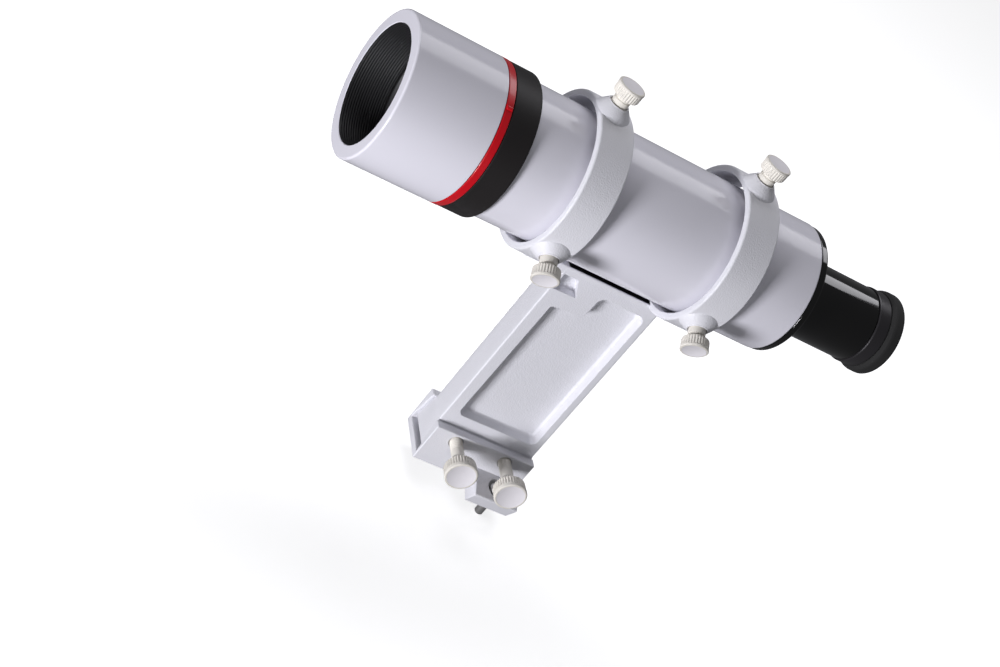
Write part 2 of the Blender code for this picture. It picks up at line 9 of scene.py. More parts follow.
import json
import logging
import math
from dataclasses import dataclass, field
from enum import Enum

import bmesh
import bpy
import numpy as np
from mathutils import Matrix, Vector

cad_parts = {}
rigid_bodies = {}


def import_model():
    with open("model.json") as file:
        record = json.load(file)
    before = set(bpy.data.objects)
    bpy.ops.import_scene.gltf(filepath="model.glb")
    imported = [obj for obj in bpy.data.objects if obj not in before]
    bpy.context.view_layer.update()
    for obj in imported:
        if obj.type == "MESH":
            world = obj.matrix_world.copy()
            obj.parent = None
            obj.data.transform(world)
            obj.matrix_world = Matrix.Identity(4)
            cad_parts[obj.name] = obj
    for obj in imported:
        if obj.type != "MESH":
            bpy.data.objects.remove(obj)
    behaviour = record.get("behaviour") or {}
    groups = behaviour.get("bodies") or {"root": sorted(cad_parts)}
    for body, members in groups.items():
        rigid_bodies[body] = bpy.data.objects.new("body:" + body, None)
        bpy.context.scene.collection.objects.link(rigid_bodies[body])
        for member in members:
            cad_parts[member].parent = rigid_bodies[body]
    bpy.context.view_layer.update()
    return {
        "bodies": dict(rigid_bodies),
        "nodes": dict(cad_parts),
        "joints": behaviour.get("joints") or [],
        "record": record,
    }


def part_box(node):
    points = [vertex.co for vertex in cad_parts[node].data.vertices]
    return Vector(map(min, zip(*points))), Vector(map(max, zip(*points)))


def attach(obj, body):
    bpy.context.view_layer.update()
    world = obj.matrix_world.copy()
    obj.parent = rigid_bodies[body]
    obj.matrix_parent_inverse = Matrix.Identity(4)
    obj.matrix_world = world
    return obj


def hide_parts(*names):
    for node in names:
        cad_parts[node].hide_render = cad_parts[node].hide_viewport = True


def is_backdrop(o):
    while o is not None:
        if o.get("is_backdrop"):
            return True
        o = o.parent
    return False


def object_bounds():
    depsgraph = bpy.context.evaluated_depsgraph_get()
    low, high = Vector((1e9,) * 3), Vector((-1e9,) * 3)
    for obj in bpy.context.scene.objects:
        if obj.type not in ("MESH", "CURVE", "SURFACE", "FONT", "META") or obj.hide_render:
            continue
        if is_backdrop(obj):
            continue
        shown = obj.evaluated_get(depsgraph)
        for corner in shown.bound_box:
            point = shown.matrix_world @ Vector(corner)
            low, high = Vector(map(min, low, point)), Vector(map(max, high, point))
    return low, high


MM = 0.001
SHARP = math.radians(42.0)
GUARD = 0.15 * MM
MERGE = 1e-6
LOG = logging.getLogger("finder")

Triple = tuple[float, float, float]
Corners = list[Triple]


# ------------------------------------------------------------------ outlines and surfaces
def rounded_path(corners: Corners, closed: bool = True, steps: int = 6) -> np.ndarray:
    """Join straight runs with arcs.

    Each arc is tangent to the two runs it joins. A guard point stands on the run just beyond
    each end of an arc, so that a long flat run shades flat.

    Args:
        corners: (x, y, radius) of every corner in order; a radius of 0 keeps the corner sharp.
        closed: whether the last corner joins the first.
        steps: straight pieces in each arc.

    Returns:
        The points of the path, one row each.
    """
    points = np.array([corner[:2] for corner in corners], dtype=float)
    path = []
    for index, (x, y, radius) in enumerate(corners):
        end = not closed and index in (0, len(corners) - 1)
        if radius <= 0.0 or end:
            path.append(points[index][None, :])
            continue
        here = points[index]
        before = points[index - 1] - here
        after = points[(index + 1) % len(points)] - here
        room = 0.49 * min(np.linalg.norm(before), np.linalg.norm(after))
        before = before / np.linalg.norm(before)
        after = after / np.linalg.norm(after)
        half = math.acos(max(-1.0, min(1.0, float(before @ after)))) / 2.0
        reach = min(radius / math.tan(half), room)
        radius = reach * math.tan(half)
        bisector = (before + after) / np.linalg.norm(before + after)
        centre = here + bisector * radius / math.sin(half)
        first = here + before * reach - centre
        last = here + after * reach - centre
        sweep = math.pi - 2.0 * half
        share = np.linspace(0.0, 1.0, steps + 1)[:, None]
        blend = first * np.sin((1.0 - share) * sweep) + last * np.sin(share * sweep)
        arc = centre + blend / math.sin(sweep)
        lead = min(reach + GUARD, (reach + room * 2.0) / 2.0)
        path.append((here + before * lead)[None, :])
        path.append(arc)
        path.append((here + after * lead)[None, :])
    return np.concatenate(path)


def inset_corners(corners: Corners, inset: float) -> Corners:
    """Move the sides of a closed outline inwards by the same distance.

    A corner moves by (n + m) d / (1 + n . m), where n and m are the inward normals of its two
    sides. The radius shrinks by d at an outside corner and grows by d at an inside one.

    Args:
        corners: (x, y, radius) of every corner, anticlockwise.
        inset: how far the sides move.

    Returns:
        The new corners. A corner that had a radius keeps a small one.
    """
    points = np.array([corner[:2] for corner in corners])
    side = np.roll(points, -1, axis=0) - points
    side = side / np.linalg.norm(side, axis=1, keepdims=True)
    after = np.stack([-side[:, 1], side[:, 0]], axis=1)
    before = np.roll(after, 1, axis=0)
    shift = (before + after) / (1.0 + np.sum(before * after, axis=1, keepdims=True))
    last = np.roll(side, 1, axis=0)
    outside = last[:, 0] * side[:, 1] - last[:, 1] * side[:, 0] > 0.0
    radii = np.array([corner[2] for corner in corners])
    grown = np.maximum(radii + np.where(outside, -inset, inset), 0.03 * MM)
    kept = np.where(radii > 0.0, grown, 0.0)
    moved = points + shift * inset
    return [(float(x), float(y), float(radius)) for (x, y), radius in zip(moved, kept)]


def seen_from(outline: np.ndarray, centre: np.ndarray, angles: np.ndarray) -> np.ndarray:
    """Sample a closed outline where rays from a point inside it cross it.

    Args:
        outline: the outline, all of it seen from the centre.
        centre: the point that the rays start from.
        angles: the rays' angles, rising from -pi to pi.

    Returns:
        One point for each angle.
    """
    offset = outline - centre
    order = np.argsort(np.arctan2(offset[:, 1], offset[:, 0]))
    offset = offset[order]
    own = np.arctan2(offset[:, 1], offset[:, 0])
    after = np.searchsorted(own, angles, side="right") % len(own)
    first = offset[after - 1]
    along = offset[after] - first
    ray = np.stack([np.cos(angles), np.sin(angles)], axis=1)
    offset_area = first[:, 0] * along[:, 1] - first[:, 1] * along[:, 0]
    ray_area = ray[:, 0] * along[:, 1] - ray[:, 1] * along[:, 0]
    return centre + ray * (offset_area / ray_area)[:, None]


def angles_of(outlines: list[np.ndarray], centre: np.ndarray) -> np.ndarray:
    """Angles of all the outlines' points about a point, with near repeats left out."""
    offset = np.concatenate(outlines) - centre
    return np.unique(np.round(np.arctan2(offset[:, 1], offset[:, 0]), 3)) + 0.0003


@dataclass(frozen=True)
class Placement:
    """Where a local frame stands: an origin and three unit directions."""

    origin: Triple
    first: Triple = (1.0, 0.0, 0.0)
    second: Triple = (0.0, 1.0, 0.0)
    third: Triple = (0.0, 0.0, 1.0)

    def apply(self, points: np.ndarray) -> np.ndarray:
        """Carry local points into the world: origin + a first + b second + c third."""
        turn = np.array([self.first, self.second, self.third])
        return points @ turn + np.array(self.origin)


CROSS_SECTION = Placement((0.0, 0.0, 0.0), (0.0, 1.0, 0.0), (0.0, 0.0, 1.0), (1.0, 0.0, 0.0))


@dataclass
class Skin:
    """Gathers the surfaces of one piece and makes its mesh."""

    points: list[np.ndarray] = field(default_factory=list)
    faces: list[list[int]] = field(default_factory=list)
    slots: list[int] = field(default_factory=list)
    count: int = 0

    def grid(self, surface: np.ndarray, wrap_u: bool = False, wrap_v: bool = False,
             slot: int = 0) -> None:
        """Add a grid of points as quads.

        Args:
            surface: array of shape (u, v, 3).
            wrap_u: whether the last row joins the first.
            wrap_v: whether the last column joins the first.
            slot: index of the finish.
        """
        rows, columns = surface.shape[:2]
        index = np.arange(rows * columns).reshape(rows, columns) + self.count
        if wrap_u:
            index = np.concatenate([index, index[:1]], axis=0)
        if wrap_v:
            index = np.concatenate([index, index[:, :1]], axis=1)
        quads = np.stack([index[:-1, :-1], index[1:, :-1], index[1:, 1:], index[:-1, 1:]], axis=-1)
        quads = quads.reshape(-1, 4)
        self.faces.extend(quads.tolist())
        self.slots.extend([slot] * len(quads))
        self.points.append(surface.reshape(-1, 3))
        self.count += rows * columns

    def cap(self, loop: np.ndarray) -> None:
        """Close a flat loop of points with one face."""
        self.faces.append(list(range(self.count, self.count + len(loop))))
        self.slots.append(0)
        self.points.append(loop)
        self.count += len(loop)

    def turned(self, profile: np.ndarray, place: Placement, segments: int = 128,
               closed: bool = True, slot: int = 0) -> None:
        """Spin a profile of (x, radius): P = (x, r cos u, r sin u).

        Args:
            profile: rows of distance along the axis and radius.
            place: the axis; the profile's x runs along its first direction.
            segments: facets round the axis.
            closed: whether the profile is a closed loop.
            slot: index of the finish.
        """
        angle = np.linspace(0.0, math.tau, segments, endpoint=False)
        x = np.broadcast_to(profile[:, 0], (segments, len(profile)))
        radius = profile[:, 1]
        local = np.stack([x, np.cos(angle)[:, None] * radius, np.sin(angle)[:, None] * radius],
                         axis=-1)
        self.grid(place.apply(local), wrap_u=True, wrap_v=closed, slot=slot)

    def slab(self, corners: Corners, low: float, high: float,
             rounding: float, place: Placement) -> None:
        """Extrude a closed outline, with quarter-round rims at both ends.

        Args:
            corners: (x, y, radius) of the outline's corners, anticlockwise.
            low: where the slab starts along the third direction.
            high: where it ends.
            rounding: radius of the two rims.
            place: the local frame.
        """
        following = corners[1:] + corners[:1]
        if sum(a[0] * b[1] - b[0] * a[1] for a, b in zip(corners, following)) < 0.0:
            corners = corners[::-1]
        turn = np.linspace(0.0, math.pi / 2.0, 5)
        rim = rounding * (1.0 - np.sin(turn))
        rise = rounding * (1.0 - np.cos(turn))
        insets = np.concatenate([rim, [0.0, 0.0], rim[::-1]])
        depths = np.concatenate([low + rise, [low + rounding * 1.2, high - rounding * 1.2],
                                 high - rise[::-1]])
        flat = np.stack([rounded_path(inset_corners(corners, inset)) for inset in insets])
        height = np.broadcast_to(depths[:, None, None], (*flat.shape[:2], 1))
        surface = place.apply(np.concatenate([flat, height], axis=2))
        self.grid(surface, wrap_v=True)
        self.cap(surface[0])
        self.cap(surface[-1])

    def mesh(self, name: str) -> bpy.types.Mesh:
        """Make the mesh: merged, closed, facing outwards and smooth.

        Args:
            name: the mesh's name.

        Returns:
            The new mesh.
        """
        made = bpy.data.meshes.new(name)
        made.from_pydata(np.concatenate(self.points).tolist(), [], self.faces)
        made.polygons.foreach_set("material_index", np.array(self.slots, dtype=np.int32))
        tidy_mesh(made)
        return made


def tidy_mesh(mesh: bpy.types.Mesh) -> None:
    """Merge doubles, drop faces of no area, face outwards and shade smooth."""
    work = bmesh.new()
    work.from_mesh(mesh)
    bmesh.ops.remove_doubles(work, verts=work.verts, dist=MERGE)
    bmesh.ops.dissolve_degenerate(work, edges=work.edges, dist=MERGE)
    bmesh.ops.recalc_face_normals(work, faces=work.faces)
    work.to_mesh(mesh)
    work.free()
    smooth(mesh)


def smooth(mesh: bpy.types.Mesh) -> None:
    """Shade smooth, with an edge left sharp where its faces turn by more than SHARP."""
    mesh.shade_smooth()
    mesh.set_sharp_from_angle(angle=SHARP)


def joined(mesh: bpy.types.Mesh, other: bpy.types.Mesh) -> bpy.types.Mesh:
    """Put the faces of another mesh beside the mesh's own.

    Args:
        mesh: the mesh that takes them.
        other: the mesh that they come from.

    Returns:
        The first mesh.
    """
    work = bmesh.new()
    work.from_mesh(mesh)
    work.from_mesh(other)
    work.to_mesh(mesh)
    work.free()
    smooth(mesh)
    return mesh


def carved(mesh: bpy.types.Mesh, cutters: list[bpy.types.Mesh]) -> bpy.types.Mesh:
    """Cut closed bodies out of a mesh with exact Booleans.

    Args:
        mesh: the mesh to cut; it is used up.
        cutters: the meshes to take away; they are used up.

    Returns:
        The cut mesh.
    """
    target = bpy.data.objects.new("carving", mesh)
    bpy.context.scene.collection.objects.link(target)
    tools = []
    for cutter in cutters:
        tool = bpy.data.objects.new("carving_tool", cutter)
        bpy.context.scene.collection.objects.link(tool)
        step = target.modifiers.new("carve", "BOOLEAN")
        step.operation = "DIFFERENCE"
        step.solver = "EXACT"
        step.object = tool
        tools.append(tool)
    bpy.context.view_layer.update()
    graph = bpy.context.evaluated_depsgraph_get()
    result = bpy.data.meshes.new_from_object(target.evaluated_get(graph), depsgraph=graph)
    result.name = mesh.name
    for item in [target, *tools]:
        bpy.data.objects.remove(item, do_unlink=True)
    work = bmesh.new()
    work.from_mesh(result)
    bmesh.ops.remove_doubles(work, verts=work.verts, dist=MERGE / 10.0)
    work.to_mesh(result)
    work.free()
    smooth(result)
    return result


# ------------------------------------------------------------------ finishes
class Socket:
    """One output of a shader node, with arithmetic that adds Math nodes."""

    def __init__(self, tree: bpy.types.NodeTree, output: bpy.types.NodeSocket) -> None:
        """Wrap an output."""
        self.tree = tree
        self.output = output

    def _math(self, operation: str, first: object, second: object) -> "Socket":
        """Add one Math node.

        Args:
            operation: what it works out.
            first: a number or a Socket.
            second: a number or a Socket.

        Returns:
            Its result.
        """
        node = self.tree.nodes.new("ShaderNodeMath")
        node.operation = operation
        for slot, value in zip(node.inputs, (first, second)):
            if isinstance(value, Socket):
                self.tree.links.new(value.output, slot)
            else:
                slot.default_value = value
        return Socket(self.tree, node.outputs[0])

    def __add__(self, other: object) -> "Socket":
        """Sum."""
        return self._math("ADD", self, other)

    def __radd__(self, other: object) -> "Socket":
        """Sum with the number first."""
        return self._math("ADD", other, self)

    def __sub__(self, other: object) -> "Socket":
        """Difference."""
        return self._math("SUBTRACT", self, other)

    def __rsub__(self, other: object) -> "Socket":
        """Difference with the number first."""
        return self._math("SUBTRACT", other, self)

    def __mul__(self, other: object) -> "Socket":
        """Product."""
        return self._math("MULTIPLY", self, other)

    def __rmul__(self, other: object) -> "Socket":
        """Product with the number first."""
        return self._math("MULTIPLY", other, self)


@dataclass(frozen=True)
class Finish:
    """A surface finish: colour, gloss, a broad mottling and a fine grain."""

    name: str
    colour: Triple
    roughness: float
    metallic: float = 0.0
    coat: float = 0.0
    mottle: float = 0.03
    mottle_size: float = 14.0 * MM
    grain_size: float = 0.30 * MM
    grain_depth: float = 0.0
    gloss_change: float = 0.05
    specular: float = 0.5

    def node(self, tree: bpy.types.NodeTree, kind: str, settings: dict[str, object],
             values: dict[str, object]) -> bpy.types.Node:
        """Add one node.

        Args:
            tree: the material's node tree.
            kind: the node's type.
            settings: properties that are set first.
            values: values, sockets or Sockets for its inputs.

        Returns:
            The new node.
        """
        made = tree.nodes.new(kind)
        for key, value in settings.items():
            setattr(made, key, value)
        for key, value in values.items():
            if isinstance(value, Socket):
                tree.links.new(value.output, made.inputs[key])
            else:
                made.inputs[key].default_value = value
        return made

    def noise(self, tree: bpy.types.NodeTree, size: float, detail: float = 3.0,
              stretch: Triple = (1.0, 1.0, 1.0)) -> Socket:
        """Noise over the object.

        Args:
            tree: the material's node tree.
            size: size of its features.
            detail: how many finer layers it has.
            stretch: scale of the coordinates along X, Y and Z.

        Returns:
            The noise, from 0 to 1.
        """
        coordinates = self.node(tree, "ShaderNodeTexCoord", {}, {})
        place = self.node(tree, "ShaderNodeMapping", {}, {
            "Vector": Socket(tree, coordinates.outputs["Object"]), "Scale": stretch})
        made = self.node(tree, "ShaderNodeTexNoise", {}, {
            "Vector": Socket(tree, place.outputs[0]), "Scale": 1.0 / size, "Detail": detail,
            "Roughness": 0.55})
        return Socket(tree, made.outputs["Fac"])

    def height(self, tree: bpy.types.NodeTree) -> Socket:
        """Height of the fine grain, from 0 to 1."""
        return self.noise(tree, self.grain_size, 2.0)

    def tone(self, tree: bpy.types.NodeTree) -> Socket:
        """How far the colour is moved from dark to light, from 0 to 1."""
        return self.noise(tree, self.mottle_size) * 0.8 + self.noise(tree, self.grain_size) * 0.2

    def dress(self, tree: bpy.types.NodeTree, shader: bpy.types.Node) -> None:
        """Set the constants that a special finish needs on the shader's own sockets."""

    def material(self) -> bpy.types.Material:
        """Build the node material, or find it when it has been built.

        Returns:
            The material.
        """
        found = bpy.data.materials.get(self.name)
        if found is not None:
            return found
        made = bpy.data.materials.new(self.name)
        made.use_nodes = True
        made.diffuse_color = (*self.colour, 1.0)
        tree = made.node_tree
        shader = tree.nodes["Principled BSDF"]
        dark = [channel * (1.0 - self.mottle) for channel in self.colour]
        light = [min(1.0, channel * (1.0 + self.mottle)) for channel in self.colour]
        factor, first, second, result = 0, 6, 7, 2
        mix = self.node(tree, "ShaderNodeMix", {"data_type": "RGBA"}, {
            factor: self.tone(tree), first: (*dark, 1.0), second: (*light, 1.0)})
        tree.links.new(mix.outputs[result], shader.inputs["Base Color"])
        patches = self.noise(tree, self.mottle_size * 0.6) - 0.5
        gloss = self.roughness + patches * (2.0 * self.gloss_change)
        tree.links.new(gloss.output, shader.inputs["Roughness"])
        shader.inputs["Metallic"].default_value = self.metallic
        shader.inputs["Coat Weight"].default_value = self.coat
        shader.inputs["Coat Roughness"].default_value = 0.06
        shader.inputs["Specular IOR Level"].default_value = self.specular
        if self.grain_depth > 0.0:
            bump = self.node(tree, "ShaderNodeBump", {}, {
                "Height": self.height(tree), "Distance": self.grain_depth, "Strength": 1.0})
            tree.links.new(bump.outputs[0], shader.inputs["Normal"])
        self.dress(tree, shader)
        return made


@dataclass(frozen=True)
class LatheFinish(Finish):
    """A finish with fine rings round the optical axis, as turning leaves."""

    ring_pitch: float = 0.25 * MM

    def height(self, tree: bpy.types.NodeTree) -> Socket:
        """Rings along X, broken up a little by noise."""
        rings = self.noise(tree, self.ring_pitch, 2.0, (1.0, 0.02, 0.02))
        return rings * 0.8 + self.noise(tree, self.grain_size, 2.0) * 0.2


@dataclass(frozen=True)
class GlassFinish(Finish):
    """Clear coated glass."""

    index: float = 1.52

    def dress(self, tree: bpy.types.NodeTree, shader: bpy.types.Node) -> None:
        """Make the shader transmit light."""
        shader.inputs["Transmission Weight"].default_value = 1.0
        shader.inputs["IOR"].default_value = self.index


class Coat(Enum):
    """Every finish on the finder."""

    GLOSS_PAINT = Finish("gloss_white_paint", (0.785, 0.775, 0.84), 0.17, specular=0.4,
                         mottle=0.012, grain_size=0.8 * MM, grain_depth=0.004 * MM,
                         gloss_change=0.03)
    CAST_PAINT = Finish("cast_white_paint", (0.79, 0.79, 0.83), 0.42, mottle=0.02,
                        grain_size=0.60 * MM, grain_depth=0.16 * MM, gloss_change=0.06)
    RED_RING = LatheFinish("red_anodised_ring", (0.60, 0.002, 0.010), 0.30, coat=0.2,
                           mottle=0.08, grain_depth=0.004 * MM)
    BLACK_SATIN = LatheFinish("satin_black_ring", (0.020, 0.018, 0.018), 0.45, specular=0.15,
                              mottle=0.10, grain_depth=0.006 * MM)
    BORE_BLACK = LatheFinish("matt_black_bore", (0.012, 0.012, 0.013), 0.55, mottle=0.15,
                             grain_depth=0.01 * MM)
    GLOSS_BLACK = Finish("gloss_black_barrel", (0.002, 0.0018, 0.0018), 0.09, coat=0.6,
                         specular=0.5, mottle=0.10, grain_size=0.6 * MM, grain_depth=0.002 * MM)
    BEZEL = LatheFinish("satin_grey_bezel", (0.035, 0.033, 0.036), 0.34, metallic=0.3,
                        mottle=0.08, grain_depth=0.006 * MM)
    RUBBER = Finish("eyecup_rubber", (0.004, 0.004, 0.006), 0.55, specular=0.2, mottle=0.18,
                    grain_size=0.25 * MM, grain_depth=0.03 * MM)
    NYLON = Finish("ivory_nylon", (0.91, 0.90, 0.925), 0.36, mottle=0.035,
                   mottle_size=5.0 * MM, grain_size=0.35 * MM, grain_depth=0.012 * MM)
    NYLON_DISC = Finish("moulded_nylon_disc", (0.86, 0.835, 0.86), 0.45, mottle=0.04,
                        mottle_size=4.0 * MM, grain_size=0.3 * MM, grain_depth=0.010 * MM)
    STEEL = Finish("zinc_steel", (0.60, 0.59, 0.57), 0.28, metallic=1.0, mottle=0.08,
                   grain_size=0.2 * MM, grain_depth=0.005 * MM)
    WIRE = Finish("blackened_wire", (0.02, 0.02, 0.02), 0.5, metallic=0.6, mottle=0.1,
                  grain_depth=0.002 * MM)
    SPACER = Finish("spacer_foil", (0.28, 0.28, 0.30), 0.4, mottle=0.06, grain_depth=0.004 * MM)
    LENS = GlassFinish("coated_lens", (0.93, 0.96, 0.97), 0.015, mottle=0.02, gloss_change=0.005)


# ------------------------------------------------------------------ the frame's own sizes
@dataclass
class Layout:
    """Places that the whole finder is built from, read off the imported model."""

    front: float = 0.0
    height: float = 0.0

    @classmethod
    def from_frame(cls) -> "Layout":
        """Read the dew shield's front face and the tube's axis."""
        shield_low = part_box("dew_shield")[0]
        tube_low, tube_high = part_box("main_tube")
        return cls(front=float(shield_low[0]), height=float(tube_low[2] + tube_high[2]) / 2.0)

    def axis(self, x: float) -> Placement:
        """The optical axis, starting at a world X."""
        return Placement((x, 0.0, self.height))

    def radial(self, station: float, degrees: float, lift: float = 0.0) -> Placement:
        """A line straight out from the optical axis, or from a little above it.

        Args:
            station: where it starts along the axis.
            degrees: its angle from +Y towards +Z.
            lift: how far above the axis it starts.

        Returns:
            The line, along the first direction.
        """
        angle = math.radians(degrees)
        out = (0.0, math.cos(angle), math.sin(angle))
        side = (0.0, -math.sin(angle), math.cos(angle))
        start = (self.front + station, 0.0, self.height + lift)
        return Placement(start, out, (1.0, 0.0, 0.0), side)


def reach(node: str, axis: int) -> tuple[float, float]:
    """Lowest and highest coordinate of a CAD node along one axis."""
    low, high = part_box(node)
    return float(low[axis]), float(high[axis])


def extent(node: str) -> Triple:
    """Front face, length and outer radius of a round CAD node on the optical axis."""
    start, end = reach(node, 0)
    return start, end - start, reach(node, 1)[1]


def add_piece(name: str, mesh: bpy.types.Mesh, finishes: list[Coat], body: str,
              stands_for: list[str]) -> bpy.types.Object:
    """Put a finished mesh into the scene as a piece that stands for CAD nodes.

    Args:
        name: the piece's name.
        mesh: its mesh, already in place.
        finishes: finishes in the order of the mesh's slots.
        body: the CAD body that it rides on.
        stands_for: CAD nodes that it replaces.

    Returns:
        The new object.
    """
    for finish in finishes:
        mesh.materials.append(finish.value.material())
    piece = bpy.data.objects.new(name, mesh)
    bpy.context.scene.collection.objects.link(piece)
    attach(piece, body)
    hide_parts(*stands_for)
    LOG.info("%s: %d faces on %s", name, len(mesh.polygons), body)
    return piece


# ------------------------------------------------------------------ objective end
@dataclass
class TurnedParts:
    """Ways to make pieces that are spun about the optical axis.

    In every outline x is measured from the CAD node's front face.
    """

    layout: Layout

    def ring(self, name: str, node: str, corners: Corners, coat: Coat, body: str, slot: str,
             segments: int = 160, steps: int = 6) -> None:
        """Make a piece with one finish from a closed outline.

        Args:
            name: the piece's name.
            node: the CAD node that it stands for.
            corners: (x, radius, rounding) of every corner.
            coat: its finish.
            body: the CAD body that it rides on.
            slot: the record's material slot; not used.
            segments: facets round the axis.
            steps: straight pieces in each arc.
        """
        skin = Skin()
        skin.turned(rounded_path(corners, steps=steps), self.layout.axis(extent(node)[0]), segments)
        add_piece(name, skin.mesh(name), [coat], body, [node])

    def shell(self, name: str, node: str, outside: Corners, inside: np.ndarray, coat: Coat,
              body: str, slot: str, segments: int = 192) -> None:
        """Make a hollow piece with one finish outside and matt black inside.

        Args:
            name: the piece's name.
            node: the CAD node that it stands for.
            outside: (x, radius, rounding) of the outer outline's corners.
            inside: rows of x and radius, from the outer outline's end back to its start.
            coat: the finish outside.
            body: the CAD body that it rides on.
            slot: the record's material slot; not used.
            segments: facets round the axis.
        """
        place = self.layout.axis(extent(node)[0])
        skin = Skin()
        skin.turned(rounded_path(outside, closed=False), place, segments, closed=False)
        skin.turned(inside, place, segments, closed=False, slot=1)
        add_piece(name, skin.mesh(name), [coat, Coat.BORE_BLACK], body, [node])

    def glass(self, name: str, node: str, radii: tuple[float, float], body: str, slot: str,
              rows: int, segments: int) -> None:
        """Make a lens: each face is part of a sphere, R - sqrt(R^2 - r^2) in from its middle.

        Args:
            name: the piece's name.
            node: the CAD node that it stands for.
            radii: radii of the front and the back sphere.
            body: the CAD body that it rides on.
            slot: the record's material slot; not used.
            rows: points from the axis to the edge.
            segments: facets round the axis.
        """
        start, length, radius = extent(node)
        height = np.linspace(0.0, radius, rows)
        front_r, back_r = radii
        front = np.stack([front_r - np.sqrt(front_r ** 2 - height ** 2), height], axis=1)
        back = np.stack([length - back_r + np.sqrt(back_r ** 2 - height ** 2), height], axis=1)
        skin = Skin()
        skin.turned(np.concatenate([front, back[::-1]]), self.layout.axis(start), segments,
                    closed=False)
        add_piece(name, skin.mesh(name), [Coat.LENS], body, [node])


@dataclass
class ObjectiveEnd(TurnedParts):
    """Dew shield, red ring, lock ring and the front lens."""

    bore_r: float = 25.2 * MM
    bore_end: float = 16.6 * MM
    socket: float = 17.0 * MM
    socket_r: float = 28.5 * MM
    groove_pitch: float = 1.05 * MM
    groove_depth: float = 0.16 * MM
    lip: float = 0.25 * MM
    edge: float = 0.9 * MM
    nub_angle: float = 126.0
    nub_size: Triple = (2.7 * MM, 1.5 * MM, 1.1 * MM)
    lock_front_r: float = 26.6 * MM
    lock_rear_r: float = 28.9 * MM
    lock_step: float = 2.5 * MM
    lens_radii: tuple[float, float] = (120.0 * MM, 90.0 * MM)

    def build(self) -> None:
        """Build every piece of the objective end."""
        self.dew_shield()
        self.red_ring()
        self.lock_ring()
        self.glass("front_lens", "objective_crown_lens", self.lens_radii, "objective",
                   "crown_glass", 40, 160)
        self.retaining_ring()

    def dew_shield(self) -> None:
        """White shell with a ribbed black bore.

        The bore's radius is R + d (1 - cos(2 pi x / pitch)) / 2, a row of turned grooves.
        """
        _, length, outer = extent("dew_shield")
        bore = self.bore_r
        shell = [(self.lip, bore, 0.0), (0.0, bore + self.lip, 0.1 * MM), (0.0, outer, self.edge),
                 (length, outer, 0.25 * MM), (length, self.socket_r, 0.0)]
        x = np.linspace(self.lip, self.bore_end, 160)
        ripple = (1.0 - np.cos(math.tau * (x - self.lip) / self.groove_pitch)) / 2.0
        ribs = np.stack([x, bore + self.groove_depth * ripple], axis=1)
        ribs[-1, 1] = bore
        back = [[self.socket, bore], [self.socket, self.socket_r], [length, self.socket_r]]
        self.shell("dew_shield_shell", "dew_shield", shell, np.concatenate([ribs, back]),
                   Coat.GLOSS_PAINT, "dew_shield_unit", "white_gloss_paint")

    def red_ring(self) -> None:
        """Red ring with softened edges and a small index nub."""
        start, end = reach("red_accent_ring", 0)
        outer = reach("dew_shield", 1)[1]
        width = end - start
        skin = Skin()
        ring = rounded_path([(0.0, self.socket_r, 0.0), (0.0, outer, 0.3 * MM),
                             (width, outer, 0.3 * MM), (width, self.socket_r, 0.0)])
        skin.turned(ring, self.layout.axis(start), 192)
        length, wide, tall = self.nub_size
        nub = [(x * length / 2, y * wide / 2, 0.35 * MM)
               for x, y in ((-1, -1), (1, -1), (1, 1), (-1, 1))]
        spot = self.layout.radial((start + end) / 2.0 - self.layout.front, self.nub_angle)
        base = np.array(spot.origin) + np.array(spot.first) * (outer - tall / 2.0)
        frame = Placement(tuple(base), spot.second, spot.third, spot.first)
        skin.slab(nub, 0.0, tall, 0.3 * MM, frame)
        add_piece("red_ring", skin.mesh("red_ring"), [Coat.RED_RING], "dew_shield_unit",
                  ["red_accent_ring"])

    def lock_ring(self) -> None:
        """Black ring with a well rounded rear edge."""
        _, width, outer = extent("focus_lock_ring")
        step = self.lock_step
        corners = [(0.0, self.lock_front_r, 0.0), (0.0, outer, 0.25 * MM),
                   (width, outer, 2.2 * MM), (width, self.lock_rear_r, 0.3 * MM),
                   (step, self.lock_rear_r, 0.0), (step, self.lock_front_r, 0.0)]
        self.ring("lock_ring", "focus_lock_ring", corners, Coat.BLACK_SATIN, "lock_ring",
                  "matt_black_anodised", 192, 8)

    def retaining_ring(self) -> None:
        """Thin black ring in front of the lens, bevelled towards the light."""
        _, width, outer = extent("objective_retaining_ring")
        inner = outer - 1.4 * MM
        corners = [(0.0, outer, 0.1 * MM), (0.0, outer - 0.6 * MM, 0.1 * MM),
                   (width * 0.6, inner, 0.1 * MM), (width, inner, 0.0), (width, outer, 0.0)]
        self.ring("lens_ring", "objective_retaining_ring", corners, Coat.BORE_BLACK, "objective",
                  "matt_black_anodised")


